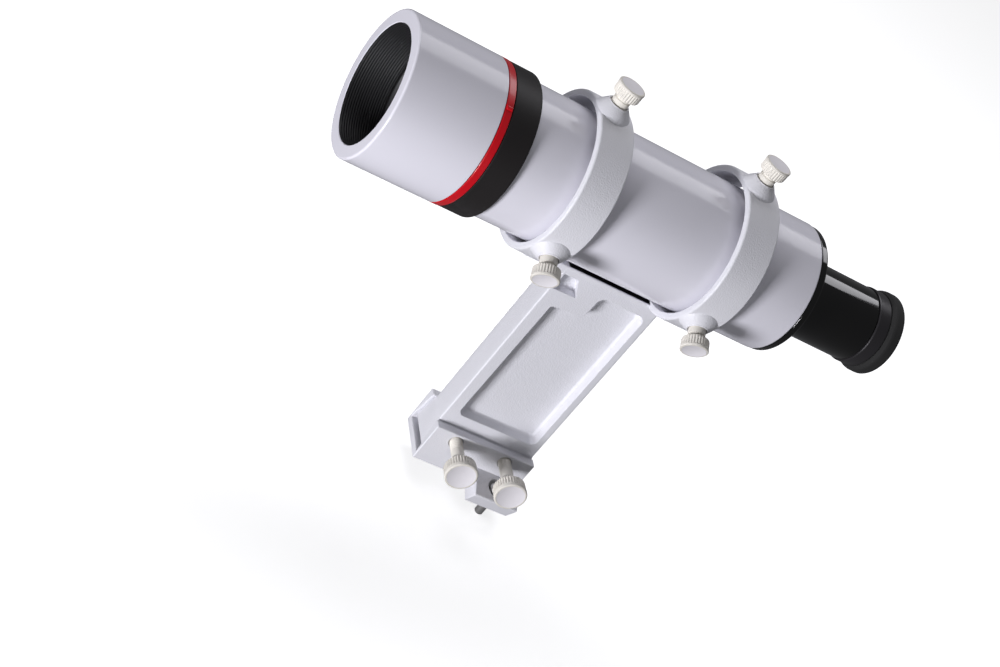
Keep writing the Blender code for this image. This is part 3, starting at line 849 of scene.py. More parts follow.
# ------------------------------------------------------------------ tube and eyepiece
@dataclass
class TubeAndEyepiece(TurnedParts):
    """Main tube, rear plate, barrel, bezel, eyecup and the eye lens."""

    body: str = "finder_tube"
    neck: float = 15.0 * MM
    neck_r: float = 26.2 * MM
    front_bore: float = 28.0 * MM
    front_bore_r: float = 24.2 * MM
    tube_bore_r: float = 26.6 * MM
    spigot_r: float = 26.3 * MM
    plate_bore_r: float = 15.2 * MM
    plate: float = 3.2 * MM
    plate_gap: float = 0.3 * MM
    throat: float = 24.0 * MM
    throat_r: float = 12.2 * MM
    barrel_neck_r: float = 14.9 * MM
    barrel_bore_r: float = 13.2 * MM
    bezel_lip: float = 3.0 * MM
    bezel_lip_r: float = 15.0 * MM
    cup_floor: float = 3.3 * MM
    cup_seat_r: float = 15.3 * MM
    cup_eye_r: float = 12.95 * MM
    lens_radii: tuple[float, float] = (28.0 * MM, 60.0 * MM)

    def build(self) -> None:
        """Build every piece that turns with the tube."""
        self.main_tube()
        self.rear_plate()
        self.barrel()
        self.bezel()
        self.eyecup()
        self.glass("rear_lens", "eye_lens", self.lens_radii, self.body, "eyepiece_glass", 32, 128)

    def main_tube(self) -> None:
        """White tube, black inside, with its threaded neck in front."""
        _, length, outer = extent("main_tube")
        outside = [(0.0, self.front_bore_r, 0.0), (0.0, self.neck_r, 0.2 * MM),
                   (self.neck, self.neck_r, 0.0), (self.neck, outer, 0.3 * MM),
                   (length, outer, 0.7 * MM), (length, self.tube_bore_r, 0.0)]
        inside = np.array([[length, self.tube_bore_r], [self.front_bore, self.tube_bore_r],
                           [self.front_bore, self.front_bore_r], [0.0, self.front_bore_r]])
        self.shell("tube_shell", "main_tube", outside, inside, Coat.GLOSS_PAINT, self.body,
                   "white_gloss_paint")

    def rear_plate(self) -> None:
        """Black plate that closes the tube, with its spigot inside."""
        _, length, outer = extent("rear_plate")
        step = length - self.plate
        corners = [(0.0, self.plate_bore_r, 0.0), (0.0, self.spigot_r, 0.3 * MM),
                   (step, self.spigot_r, 0.0), (step, outer, 0.3 * MM),
                   (length, outer, 0.9 * MM), (length, self.plate_bore_r, 0.0)]
        self.ring("closing_plate", "rear_plate", corners, Coat.GLOSS_BLACK, self.body,
                  "gloss_black", 192)

    def barrel(self) -> None:
        """Gloss black barrel with a matt bore."""
        start, length, outer = extent("eyepiece_barrel")
        shoulder = reach("rear_plate", 0)[1] + self.plate_gap - start
        outside = [(0.0, self.throat_r, 0.0), (0.0, self.barrel_neck_r, 0.2 * MM),
                   (shoulder, self.barrel_neck_r, 0.0), (shoulder, outer, 0.2 * MM),
                   (length, outer, 0.35 * MM), (length, self.barrel_bore_r, 0.0)]
        inside = np.array([[length, self.barrel_bore_r], [self.throat, self.barrel_bore_r],
                           [self.throat, self.throat_r], [0.0, self.throat_r]])
        self.shell("barrel", "eyepiece_barrel", outside, inside, Coat.GLOSS_BLACK, self.body,
                   "gloss_black", 160)

    def bezel(self) -> None:
        """Satin ring, slightly proud of the barrel, with two fine edges."""
        _, length, outer = extent("eye_bezel")
        lip = length - self.bezel_lip
        corners = [(0.0, self.barrel_bore_r, 0.0), (0.0, outer - 0.3 * MM, 0.15 * MM),
                   (0.4 * MM, outer, 0.3 * MM), (lip, outer - 0.15 * MM, 0.25 * MM),
                   (lip, self.bezel_lip_r, 0.0), (length, self.bezel_lip_r, 0.2 * MM),
                   (length, self.barrel_bore_r, 0.2 * MM)]
        self.ring("bezel", "eye_bezel", corners, Coat.BEZEL, self.body, "satin_black_bezel")

    def eyecup(self) -> None:
        """Rubber cup: a rolled outer rim and a dished face that falls to the lens."""
        _, length, outer = extent("eyecup")
        corners = [(0.0, self.cup_seat_r, 0.0), (0.0, outer - 1.3 * MM, 0.3 * MM),
                   (1.3 * MM, outer - 0.2 * MM, 0.9 * MM), (2.2 * MM, outer, 0.8 * MM),
                   (length, outer, 1.8 * MM), (length - 0.1 * MM, outer - 3.6 * MM, 0.8 * MM),
                   (self.cup_floor, self.cup_eye_r, 0.25 * MM),
                   (self.cup_floor, self.cup_seat_r, 0.0)]
        self.ring("rubber_cup", "eyecup", corners, Coat.RUBBER, self.body, "eyecup_rubber",
                  steps=8)


# ------------------------------------------------------------------ bracket
@dataclass(frozen=True)
class Adjuster:
    """One of the three adjusting screws of a ring.

    The angle runs from +Y towards +Z, the shift along the ring's width, and the heights of the
    boss and of the screw's head are measured from the ring's centre.
    """

    side: str
    degrees: float
    shift: float
    boss_top: float
    head: float


ADJUSTERS = (Adjuster("top", 90.0, -1.5 * MM, 38.5 * MM, 42.3 * MM),
             Adjuster("near", 210.0, 0.0, 37.5 * MM, 41.7 * MM),
             Adjuster("far", 330.0, 0.0, 37.5 * MM, 41.7 * MM))


@dataclass
class Bracket:
    """The casting: two rings with bosses, rail, recessed stem and dovetail foot."""

    layout: Layout
    stations: tuple[float, float] = (88.0 * MM, 161.7 * MM)
    ring_lift: float = 1.0 * MM
    ring_r: float = 34.3 * MM
    bore_r: float = 31.3 * MM
    half_ring: float = 8.0 * MM
    boss_base_r: float = 7.95 * MM
    boss_tip_r: float = 4.75 * MM
    boss_rim: float = 0.35 * MM
    hole_r: float = 3.95 * MM
    hole_depth: float = 2.9 * MM
    thread_r: float = 2.6 * MM
    rail_top: float = 31.0 * MM
    rail_bottom: float = 35.2 * MM
    rail_overlap: float = 4.0 * MM
    half_width: float = 7.1 * MM
    stem: tuple[float, float] = (111.2 * MM, 159.9 * MM)
    recess_depth: float = 5.0 * MM
    recess_corner: float = 3.8 * MM
    recess_stations: Triple = (116.5 * MM, 133.1 * MM, 156.5 * MM)
    recess_heights: Triple = (26.1 * MM, 94.4 * MM, 107.4 * MM)
    recess_centre: tuple[float, float] = (140.0 * MM, 66.0 * MM)
    shoe_top: float = 20.2 * MM
    foot_bottom: float = 5.6 * MM
    foot_half_widths: Triple = (10.4 * MM, 7.6 * MM, 6.9 * MM)
    pocket_stations: Triple = (112.6 * MM, 119.6 * MM, 124.0 * MM)
    pocket_drops: Triple = (34.4 * MM, 42.9 * MM, 43.2 * MM)
    pocket_depth: float = 4.5 * MM

    def build(self) -> None:
        """Build the casting as one piece."""
        skin = Skin()
        for station in self.stations:
            self.ring(skin, station)
            for adjuster in ADJUSTERS:
                self.boss(skin, station, adjuster)
        self.rail(skin)
        self.foot(skin)
        stem = Skin()
        self.stem_plate(stem)
        plate = carved(stem.mesh("stem_plate"), [self.pocket()])
        casting = joined(skin.mesh("bracket_casting"), plate)
        add_piece("bracket_casting", casting, [Coat.CAST_PAINT], "bracket", ["bracket_body"])

    def ring(self, skin: Skin, station: float) -> None:
        """One ring: a band with soft edges.

        Args:
            skin: the skin that takes the surface.
            station: the middle of its width.
        """
        half = self.half_ring
        band = rounded_path([(-half, self.bore_r, 0.5 * MM), (-half, self.ring_r, 0.9 * MM),
                             (half, self.ring_r, 0.6 * MM), (half, self.bore_r, 0.4 * MM)],
                            steps=7)
        centre = Placement((self.layout.front + station, 0.0, self.layout.height + self.ring_lift))
        skin.turned(band, centre, 192)

    def boss(self, skin: Skin, station: float, adjuster: Adjuster) -> None:
        """One boss: it grows out of the ring's curved face and ends in a flat top.

        At a distance q from the screw's axis and an angle u round it, the ring's face lies at
        sqrt(R^2 - (q sin u)^2), and the boss's height blends from there to the flat top.

        Args:
            skin: the skin that takes the surface.
            station: the middle of the ring's width.
            adjuster: the screw that it carries.
        """
        angle = np.linspace(0.0, math.tau, 72, endpoint=False)
        share = np.linspace(0.0, 1.0, 14)
        spread = self.boss_base_r - (self.boss_base_r - self.boss_tip_r) * share
        lift = share ** 0.85
        across = spread[None, :] * np.sin(angle)[:, None]
        face = np.sqrt(self.ring_r ** 2 - across ** 2) - 0.12 * MM
        top = adjuster.boss_top
        height = face * (1.0 - lift) + (top - self.boss_rim) * lift
        floor = top - self.hole_depth
        rim = rounded_path([(top - 0.4 * MM, self.boss_tip_r, 0.0),
                            (top, self.boss_tip_r - 0.15 * MM, 0.3 * MM),
                            (top, self.hole_r, 0.2 * MM), (floor, self.hole_r, 0.0),
                            (floor, self.thread_r, 0.0)], closed=False)
        rims = np.broadcast_to(rim[:, 0], (len(angle), len(rim)))
        heights = np.concatenate([height, rims], axis=1)
        spreads = np.concatenate([spread, rim[:, 1]])
        local = np.stack([heights, np.cos(angle)[:, None] * spreads,
                          np.sin(angle)[:, None] * spreads], axis=-1)
        place = self.layout.radial(station + adjuster.shift, adjuster.degrees, self.ring_lift)
        skin.grid(place.apply(local), wrap_u=True)

    def rail(self, skin: Skin) -> None:
        """Add the bar under the tube that joins the two rings."""
        top = self.layout.height - self.rail_top
        bottom = self.layout.height - self.rail_bottom
        side = self.half_width - 0.05 * MM
        outline = [(-side, bottom, 0.8 * MM), (side, bottom, 0.8 * MM), (side, top, 0.6 * MM),
                   (-side, top, 0.6 * MM)]
        start = self.layout.front + self.stations[0] + self.rail_overlap
        end = self.layout.front + self.stations[1] - self.rail_overlap
        skin.slab(outline, start, end, 0.5 * MM, CROSS_SECTION)

    def foot(self, skin: Skin) -> None:
        """Add the dovetail that the shoe clamps."""
        low, shoulder, top = self.foot_half_widths
        half = [(low, self.foot_bottom, 0.5 * MM), (shoulder, self.shoe_top - 0.4 * MM, 0.3 * MM),
                (top, self.shoe_top + 0.4 * MM, 0.0)]
        mirrored = [(-y, z, radius) for y, z, radius in half[::-1]]
        start, end = (self.layout.front + station for station in self.stem)
        skin.slab(mirrored + half, start + 0.03 * MM, end - 0.03 * MM, 0.4 * MM, CROSS_SECTION)

    def stem_outline(self, inset: float) -> np.ndarray:
        """The stem's outer outline, moved inwards."""
        start, end = (self.layout.front + station for station in self.stem)
        low = self.shoe_top - 1.2 * MM + inset
        high = self.layout.height - self.rail_top - inset
        radius = 1.2 * MM - inset
        return rounded_path([(start + inset, low, radius), (end - inset, low, radius),
                             (end - inset, high, radius), (start + inset, high, radius)])

    def recess_outline(self, inset: float) -> np.ndarray:
        """The recess's stepped outline, moved inwards.

        An outside corner's radius shrinks by the inset and the step's radius grows by it.
        """
        left, step, right = (self.layout.front + x + inset * way
                             for x, way in zip(self.recess_stations, (1.0, 1.0, -1.0)))
        low, shoulder, high = (z + inset * way
                               for z, way in zip(self.recess_heights, (1.0, -1.0, -1.0)))
        radius = self.recess_corner - inset
        return rounded_path([(left, low, radius), (right, low, radius), (right, high, radius),
                             (step, high, radius), (step, shoulder, self.recess_corner + inset),
                             (left, shoulder, radius)], steps=10)

    def stem_plate(self, skin: Skin) -> None:
        """Add the stem: rounded outer edges, and on each side a recess with a soft foot.

        Loops run from the outer edge, over the face, down the recess's wall and across its
        floor, all sampled on the same rays. The wall is an arc at the lip, a slope with ten
        degrees of draft and a wide arc at the floor.
        """
        edge = 0.7 * MM
        turn = np.linspace(0.0, math.pi / 2.0, 5)
        rim = [(edge * (1.0 - math.cos(step)), edge * (1.0 - math.sin(step))) for step in turn]
        wall = rounded_path([(-0.6 * MM, 0.0, 0.0), (0.0, 0.0, 0.7 * MM),
                             (0.9 * MM, self.recess_depth, 2.2 * MM),
                             (3.15 * MM, self.recess_depth, 0.0)], closed=False, steps=7)
        centre = np.array([self.layout.front, 0.0]) + self.recess_centre
        outlines = [(self.stem_outline(inset), depth) for inset, depth in rim]
        outlines.append((self.stem_outline(edge + 0.15 * MM), 0.0))
        outlines += [(self.recess_outline(inset), depth) for inset, depth in wall]
        angles = angles_of([outlines[0][0], outlines[len(rim)][0], outlines[-1][0]], centre)
        flat = np.stack([seen_from(outline, centre, angles) for outline, _ in outlines])
        depths = np.array([depth for _, depth in outlines])
        for side in (-1.0, 1.0):
            level = np.broadcast_to((side * (self.half_width - depths))[:, None], flat.shape[:2])
            surface = np.stack([flat[..., 0], level, flat[..., 1]], axis=-1)
            skin.grid(surface, wrap_v=True)
            skin.cap(surface[-1])
        rows = np.linspace(edge - self.half_width, self.half_width - edge, 6)
        shape = (len(rows), len(angles))
        band = np.stack([np.broadcast_to(flat[0, :, 0], shape),
                         np.broadcast_to(rows[:, None], shape),
                         np.broadcast_to(flat[0, :, 1], shape)], axis=-1)
        skin.grid(band, wrap_v=True)

    def pocket(self) -> bpy.types.Mesh:
        """The body that cuts the clearance pocket for the near adjusting screw."""
        left, inner, right = (self.layout.front + x for x in self.pocket_stations)
        top, shallow, deep = (self.layout.height - drop for drop in self.pocket_drops)
        outline = [(left, deep, 0.0), (right, shallow, 0.3 * MM), (inner, top, 0.3 * MM),
                   (left, top, 0.0)]
        side = Placement((0.0, 0.0, 0.0), (1.0, 0.0, 0.0), (0.0, 0.0, 1.0), (0.0, -1.0, 0.0))
        cutter = Skin()
        cutter.slab(outline, self.half_width - self.pocket_depth, self.half_width + 2.0 * MM,
                    0.25 * MM, side)
        return cutter.mesh("pocket_cutter")


# ------------------------------------------------------------------ shoe
@dataclass
class Shoe:
    """The dovetail shoe with its saddle flange and fixing screws."""

    layout: Layout
    ends: tuple[float, float] = (110.0 * MM, 160.3 * MM)
    top: float = 20.2 * MM
    wall: float = 12.4 * MM
    floor: float = 3.2 * MM
    slot_half_widths: tuple[float, float] = (11.1 * MM, 7.86 * MM)
    saddle_r: float = 70.0 * MM
    flange_start: float = 138.0 * MM
    flange_tip: tuple[float, float] = (25.9 * MM, 4.2 * MM)
    flange_foot: float = 21.5 * MM
    flange_root: float = 8.4 * MM
    fixing_station: float = 149.3 * MM
    fixing_offset: float = 18.6 * MM
    fixing_seat: float = 2.4 * MM
    fixing_hole_r: float = 2.3 * MM
    counterbore_r: float = 4.7 * MM
    fixing_r: float = 2.0 * MM
    fixing_head_r: float = 3.5 * MM
    fixing_head: float = 3.6 * MM
    hexagon_r: float = 1.55 * MM
    hexagon_depth: float = 2.0 * MM
    clamp_stations: tuple[float, float] = (121.9 * MM, 147.2 * MM)
    clamp_height: float = 15.9 * MM
    clamp_hole_r: float = 3.15 * MM
    clamp_mouth_r: float = 3.7 * MM

    def build(self) -> None:
        """Build the shoe and its two screws."""
        start, end = (self.layout.front + station for station in self.ends)
        low, high = self.slot_half_widths
        half = [(self.wall, 0.0, 0.8 * MM), (self.wall, self.top, 0.6 * MM),
                (high, self.top, 0.3 * MM), (low, self.floor, 0.5 * MM)]
        mirrored = [(-y, z, radius) for y, z, radius in half[::-1]]
        body = Skin()
        body.slab(mirrored[-1:] + half + mirrored[:-1], start, end, 0.5 * MM, CROSS_SECTION)
        shell = carved(body.mesh("shoe_channel"), self.clamp_holes())
        wing = Skin()
        wing.slab(self.flange_outline(), self.layout.front + self.flange_start, end - 0.2 * MM,
                  0.5 * MM, CROSS_SECTION)
        holes = [self.upright_hole(sign) for sign in (-1.0, 1.0)]
        flange = carved(wing.mesh("saddle_flange"), holes)
        add_piece("shoe_casting", joined(shell, flange), [Coat.CAST_PAINT], "shoe",
                  ["dovetail_shoe"])
        for name, sign in (("near", -1.0), ("far", 1.0)):
            self.fixing_screw(name, sign)

    def flange_outline(self) -> Corners:
        """Outline across the tube: sloping top, blunt tips and a round saddle below."""
        reach_angle = math.asin(self.flange_foot / self.saddle_r)
        angle = np.linspace(-reach_angle, reach_angle, 41)
        under = np.stack([self.saddle_r * np.sin(angle),
                          self.saddle_r * (np.cos(angle) - 1.0) - 0.1 * MM], axis=1)
        tip, tip_top = self.flange_tip
        over = [(tip, tip_top, 0.8 * MM), (self.wall - 1.0 * MM, self.flange_root, 0.0),
                (1.0 * MM - self.wall, self.flange_root, 0.0), (-tip, tip_top, 0.8 * MM)]
        return [(float(y), float(z), 0.0) for y, z in under] + over

    def upright_hole(self, sign: float) -> bpy.types.Mesh:
        """Counterbored hole through the wing on one side, as a body that cuts it."""
        far = 20.0 * MM
        bore = rounded_path([(-far, 0.0, 0.0), (-far, self.fixing_hole_r, 0.0),
                             (self.fixing_seat, self.fixing_hole_r, 0.2 * MM),
                             (self.fixing_seat, self.counterbore_r, 0.2 * MM),
                             (far, self.counterbore_r, 0.0), (far, 0.0, 0.0)], closed=False)
        hole = Skin()
        hole.turned(bore, self.upright(sign), 64, closed=False)
        return hole.mesh("fixing_hole")

    def upright(self, sign: float) -> Placement:
        """The line of one fixing screw, pointing up."""
        return Placement((self.layout.front + self.fixing_station, sign * self.fixing_offset, 0.0),
                         (0.0, 0.0, 1.0), (1.0, 0.0, 0.0), (0.0, 1.0, 0.0))

    def clamp_axis(self, station: float) -> Placement:
        """The line of one thumbscrew, pointing to the near side."""
        return Placement((self.layout.front + station, 0.0, self.clamp_height),
                         (0.0, -1.0, 0.0), (1.0, 0.0, 0.0), (0.0, 0.0, 1.0))

    def clamp_holes(self) -> list[bpy.types.Mesh]:
        """The two holes that the thumbscrews pass through, with bevelled mouths."""
        inner, outer = 6.0 * MM, self.wall + 3.0 * MM
        bore = np.array([[inner, 0.0], [inner, self.clamp_hole_r],
                         [self.wall - 0.3 * MM, self.clamp_hole_r],
                         [self.wall + 0.4 * MM, self.clamp_mouth_r],
                         [outer, self.clamp_mouth_r], [outer, 0.0]])
        holes = []
        for station in self.clamp_stations:
            hole = Skin()
            hole.turned(bore, self.clamp_axis(station), 64, closed=False)
            holes.append(hole.mesh("clamp_hole"))
        return holes

    def fixing_screw(self, name: str, sign: float) -> None:
        """Cap screw with a hexagon socket.

        Args:
            name: "near" or "far".
            sign: -1 on the near side and 1 on the far side.
        """
        low, high = reach("shoe_screw_" + name, 2)
        seat = high - self.fixing_head
        outline = rounded_path([(low, 0.0, 0.0), (low, self.fixing_r - 0.3 * MM, 0.0),
                                (low + 0.4 * MM, self.fixing_r, 0.0), (seat, self.fixing_r, 0.0),
                                (seat, self.fixing_head_r, 0.2 * MM),
                                (high, self.fixing_head_r, 0.35 * MM), (high, 0.0, 0.0)],
                               closed=False)
        place = self.upright(sign)
        shaft = Skin()
        shaft.turned(outline, place, 72, closed=False)
        angles = [math.tau * side / 6 for side in range(6)]
        hexagon = [(self.hexagon_r * math.cos(angle), self.hexagon_r * math.sin(angle), 0.0)
                   for angle in angles]
        socket = Skin()
        socket.slab(hexagon, high - self.hexagon_depth, high + 1.0 * MM, 0.05 * MM,
                    Placement(place.origin, place.second, place.third, place.first))
        screw = carved(shaft.mesh("cap_screw_" + name), [socket.mesh("socket")])
        add_piece("cap_screw_" + name, screw, [Coat.STEEL], "shoe", ["shoe_screw_" + name])


# ------------------------------------------------------------------ nylon screws
@dataclass
class NylonScrews:
    """Adjusting screws and clamp screws: straight-knurled heads on plain necks."""

    layout: Layout
    bracket: Bracket
    shoe: Shoe
    tip: float = 28.9 * MM
    thread_r: float = 2.5 * MM
    neck_r: float = 3.65 * MM
    head_r: float = 5.9 * MM
    head: float = 5.1 * MM
    shank: tuple[float, float] = (9.4 * MM, 19.0 * MM)
    shank_r: float = 2.85 * MM
    pitch: float = 1.0 * MM
    thread_depth: float = 0.28 * MM
    clamp_cone: float = 22.5 * MM
    clamp_head: tuple[float, float] = (26.7 * MM, 33.5 * MM)
    clamp_head_r: float = 7.2 * MM

    def build(self) -> None:
        """Build all eight screws."""
        for row, station in zip(("front", "rear"), self.bracket.stations):
            for adjuster in ADJUSTERS:
                self.adjuster(row + "_" + adjuster.side, station, adjuster)
        for row, station in zip(("front", "rear"), self.shoe.clamp_stations):
            self.clamp(row, station)

    def knurled(self, skin: Skin, profile: np.ndarray, grip: tuple[float, float], ridges: int,
                depth: float, place: Placement) -> None:
        """Spin a profile whose radius is cut by grooves between two heights.

        The radius is r(v) - depth (1 - |cos(n u / 2)|), with n ridges round the head.

        Args:
            skin: the skin that takes the surface.
            profile: rows of distance and radius.
            grip: distances where the grooves start and end.
            ridges: number of ridges.
            depth: depth of the grooves.
            place: the screw's axis.
        """
        low, high = grip
        knurl = np.where((profile[:, 0] > low) & (profile[:, 0] < high), 1.0, 0.0)
        angle = np.linspace(0.0, math.tau, ridges * 6, endpoint=False)
        groove = 1.0 - np.abs(np.cos(ridges * angle / 2.0))
        radius = profile[None, :, 1] - depth * groove[:, None] * knurl[None, :]
        x = np.broadcast_to(profile[:, 0], radius.shape)
        local = np.stack([x, radius * np.cos(angle)[:, None], radius * np.sin(angle)[:, None]],
                         axis=-1)
        skin.grid(place.apply(local), wrap_u=True)

    def finish(self, skin: Skin, name: str, end: float, rim_r: float, dish: float,
               place: Placement, body: str, node: str) -> None:
        """Close a screw with its dished disc and put it into the scene.

        Args:
            skin: the screw so far.
            name: the piece's name.
            end: distance of the head's end along the axis.
            rim_r: radius where the disc starts.
            dish: how deep the disc lies.
            place: the screw's axis.
            body: the CAD body that it rides on.
            node: the CAD node that it stands for.
        """
        disc = np.array([[end, rim_r], [end - dish, rim_r - 0.3 * MM], [end - dish, 0.0]])
        skin.turned(disc, place, 120, closed=False, slot=1)
        add_piece(name, skin.mesh(name), [Coat.NYLON, Coat.NYLON_DISC], body, [node])

    def adjuster(self, name: str, station: float, adjuster: Adjuster) -> None:
        """One adjusting screw, tip to head.

        Args:
            name: its ring and side.
            station: the middle of the ring's width.
            adjuster: where it stands round the ring.
        """
        lift = self.bracket.ring_lift
        tip = self.tip - lift * math.sin(math.radians(adjuster.degrees))
        neck, head, end = adjuster.boss_top - 1.4 * MM, adjuster.head, adjuster.head + self.head
        thread_r, neck_r, head_r = self.thread_r, self.neck_r, self.head_r
        waist_r, seat_r, rim_r = neck_r - 0.35 * MM, neck_r + 0.4 * MM, head_r - 0.9 * MM
        place = self.layout.radial(station + adjuster.shift, adjuster.degrees, lift)
        skin = Skin()
        stem = rounded_path([(tip, 0.0, 0.0), (tip, thread_r, 0.5 * MM), (neck, thread_r, 0.2 * MM),
                             (neck, neck_r, 0.2 * MM), (head - 1.7 * MM, neck_r, 0.3 * MM),
                             (head - 1.4 * MM, waist_r, 0.2 * MM),
                             (head - 0.3 * MM, waist_r, 0.3 * MM), (head, seat_r, 0.0)],
                            closed=False)
        skin.turned(stem, place, 120, closed=False)
        rim = rounded_path([(head, seat_r, 0.0), (head, head_r - 0.5 * MM, 0.3 * MM),
                            (head + 0.6 * MM, head_r - 0.15 * MM, 0.3 * MM),
                            (end - 1.1 * MM, head_r - 0.1 * MM, 0.0),
                            (end - 1.0 * MM, head_r, 0.1 * MM), (end - 0.25 * MM, head_r, 0.2 * MM),
                            (end, head_r - 0.3 * MM, 0.15 * MM), (end, rim_r, 0.0)], closed=False)
        grip = (head + 0.25 * MM, end - 1.05 * MM)
        self.knurled(skin, rim, grip, 30, 0.32 * MM, place)
        self.finish(skin, name + "_thumbscrew", end, rim_r, 0.12 * MM, place, name + "_adjuster",
                    name + "_screw")

    def clamp(self, row: str, station: float) -> None:
        """One clamp screw: threaded shank, flared neck and knurled head.

        The thread's radius is r - d (1 + cos(2 pi x / pitch)) / 2, and it fades out at the neck.

        Args:
            row: "front" or "rear".
            station: where it stands along the shoe.
        """
        place = self.shoe.clamp_axis(station)
        tip, neck = self.shank
        head, end = self.clamp_head
        shank_r, head_r = self.shank_r, self.clamp_head_r
        seat_r, rim_r = head_r - 1.4 * MM, head_r - 1.0 * MM
        x = np.linspace(tip + 0.5 * MM, neck, 150)
        fade = np.clip((neck - x) / (1.5 * MM), 0.0, 1.0)
        ripple = (1.0 + np.cos(math.tau * x / self.pitch)) / 2.0
        threads = np.stack([x, shank_r - self.thread_depth * ripple * fade], axis=1)
        skin = Skin()
        shank = np.concatenate([[[tip, 0.0], [tip, shank_r - 0.6 * MM]], threads])
        skin.turned(shank, place, 96, closed=False)
        flare = rounded_path([(neck, shank_r, 0.0), (self.clamp_cone, shank_r, 3.0 * MM),
                              (head, seat_r, 0.0)], closed=False, steps=10)
        skin.turned(flare, place, 96, closed=False)
        rim = rounded_path([(head, seat_r, 0.0), (head + 0.3 * MM, head_r - 0.9 * MM, 0.0),
                            (head + 0.9 * MM, head_r - 0.15 * MM, 0.3 * MM),
                            (end - 1.9 * MM, head_r - 0.05 * MM, 0.0),
                            (end - 1.8 * MM, head_r, 0.1 * MM), (end - 0.3 * MM, head_r, 0.3 * MM),
                            (end, head_r - 0.4 * MM, 0.2 * MM), (end, rim_r, 0.0)], closed=False)
        grip = (head + 0.2 * MM, end - 1.85 * MM)
        self.knurled(skin, rim, grip, 36, 0.35 * MM, place)
        self.finish(skin, "clamp_thumbscrew_" + row, end, rim_r, 0.15 * MM, place,
                    row + "_clamp_screw", "clamp_screw_" + row)


# ------------------------------------------------------------------ inner pieces
def dress_inner_nodes(frame: dict[str, object]) -> None:
    """Give the CAD nodes that stay inside the tube their finishes.
    """
    black = ("objective_cell", "front_baffle", "rear_baffle", "reticle_ring",
             "eyepiece_spacer_tube", "eyepiece_lens_spacer", "eyepiece_retaining_ring")
    finishes = dict.fromkeys(black, Coat.BORE_BLACK)
    finishes |= dict.fromkeys(("objective_flint_lens", "field_lens"), Coat.LENS)
    finishes |= {"objective_lens_spacer": Coat.SPACER, "crosshair": Coat.WIRE}
    for name, finish in finishes.items():
        node = frame["nodes"][name]
        for slot in node.material_slots:
            slot.material = finish.value.material()
        LOG.info("%s: %s", name, finish.name)


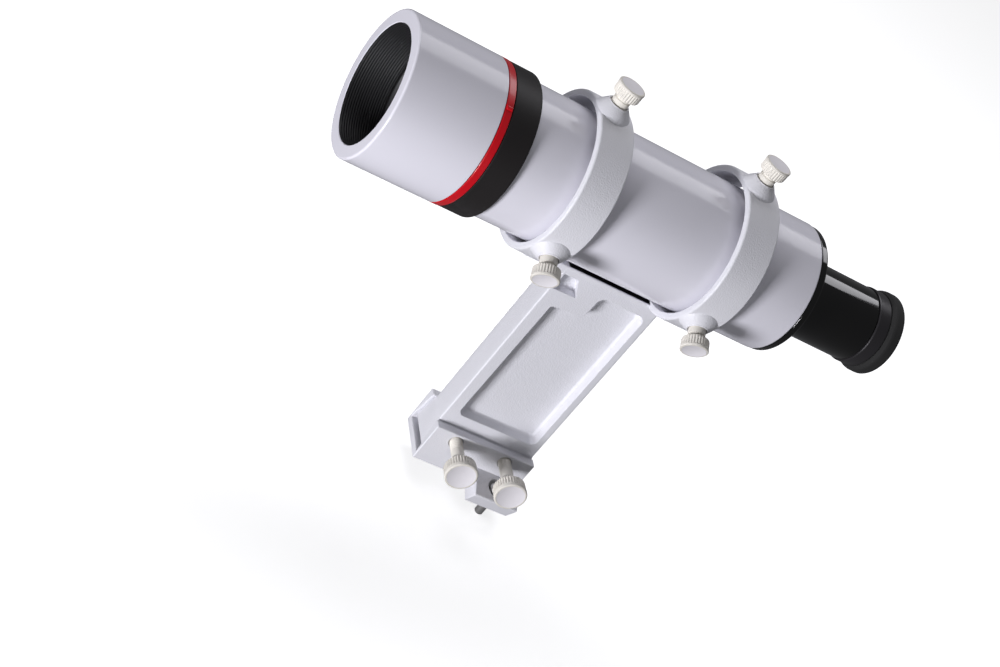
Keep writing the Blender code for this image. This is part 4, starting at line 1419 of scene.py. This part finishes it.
# ------------------------------------------------------------------ studio
@dataclass
class Studio:
    """Pale floor, soft lights and the camera."""

    layout: Layout
    floor_half: float = 4.0
    floor_glow: float = 0.75
    sky: float = 0.11
    target: Triple = (0.0, 0.0, 0.12)
    azimuth: float = -30.306
    elevation: float = 28.440
    roll: float = 39.860
    lens: float = 74.454
    light_colour: Triple = (0.96, 0.955, 1.0)
    eye: Triple = (-0.27025, -0.65285, 0.33177)

    def build(self) -> None:
        """Set up the whole studio."""
        self.floor()
        self.world()
        self.camera()
        self.softbox("key", (-0.80, -0.62, -0.12), (0.28, 0.24), 10.5)
        self.softbox("front", (-0.20, -1.00, 0.03), (0.9, 0.24), 1.0)
        self.softbox("strip", (0.05, 0.43, 0.90), (1.3, 0.45), 5.5)

    def floor(self) -> None:
        """A plain pale floor just under the lowest piece."""
        level = float(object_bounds()[0][2]) - 0.2 * MM
        size = self.floor_half
        mesh = bpy.data.meshes.new("floor")
        mesh.from_pydata([(-size, -size, level), (size, -size, level), (size, size, level),
                          (-size, size, level)], [], [(0, 1, 2, 3)])
        paper = bpy.data.materials.new("floor_paper")
        paper.use_nodes = True
        shader = paper.node_tree.nodes["Principled BSDF"]
        shader.inputs["Base Color"].default_value = (0.86, 0.86, 0.87, 1.0)
        shader.inputs["Roughness"].default_value = 0.9
        shader.inputs["Emission Color"].default_value = (1.0, 1.0, 1.0, 1.0)
        shader.inputs["Emission Strength"].default_value = self.floor_glow
        mesh.materials.append(paper)
        floor = bpy.data.objects.new("floor", mesh)
        bpy.context.scene.collection.objects.link(floor)
        floor.visible_diffuse = False
        floor.visible_glossy = False
        floor.visible_shadow = False
        floor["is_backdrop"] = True

    def world(self) -> None:
        """Even pale surroundings, and colours shown as they are."""
        bpy.context.scene.view_settings.view_transform = "Standard"
        world = bpy.data.worlds.new("studio")
        bpy.context.scene.world = world
        world.use_nodes = True
        background = world.node_tree.nodes["Background"]
        background.inputs["Color"].default_value = (0.95, 0.96, 1.0, 1.0)
        background.inputs["Strength"].default_value = self.sky

    def softbox(self, name: str, place: Triple, size: tuple[float, float], power: float) -> None:
        """One rectangular area light that faces the target.

        Args:
            name: the light's name.
            place: where it stands.
            size: its width and height.
            power: its power in watts.
        """
        light = bpy.data.lights.new(name, "AREA")
        light.shape = "RECTANGLE"
        light.size, light.size_y = size
        light.energy = power
        light.color = self.light_colour
        lamp = bpy.data.objects.new(name, light)
        bpy.context.scene.collection.objects.link(lamp)
        back = np.array(place) - np.array(self.target)
        back = back / np.linalg.norm(back)
        side = np.cross((0.0, 0.0, 1.0), back)
        side = side / np.linalg.norm(side)
        up = np.cross(back, side)
        turn = Matrix((side, up, back)).transposed().to_4x4()
        lamp.matrix_world = Matrix.Translation(place) @ turn

    def camera(self) -> None:
        """The camera: azimuth, elevation and a roll about its own line of sight."""
        data = bpy.data.cameras.new("camera")
        data.lens = self.lens
        data.sensor_width = 36.0
        data.clip_start = 0.01
        camera = bpy.data.objects.new("camera", data)
        bpy.context.scene.collection.objects.link(camera)
        steps = ((self.azimuth, "Z"), (90.0 - self.elevation, "X"), (self.roll, "Z"))
        first, second, third = (Matrix.Rotation(math.radians(turn), 4, axis)
                                for turn, axis in steps)
        turn = first @ second @ third
        x, y, z = self.eye
        place = (self.layout.front + x, y, self.layout.height + z)
        camera.matrix_world = Matrix.Translation(place) @ turn
        bpy.context.scene.camera = camera


def main() -> None:
    """Build the finder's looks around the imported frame."""
    logging.basicConfig(level=logging.INFO, format="%(name)s: %(message)s")
    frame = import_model()
    layout = Layout.from_frame()
    bracket = Bracket(layout)
    shoe = Shoe(layout)
    ObjectiveEnd(layout).build()
    TubeAndEyepiece(layout).build()
    bracket.build()
    shoe.build()
    NylonScrews(layout, bracket, shoe).build()
    dress_inner_nodes(frame)
    Studio(layout).build()


if __name__ == "__main__":
    main()
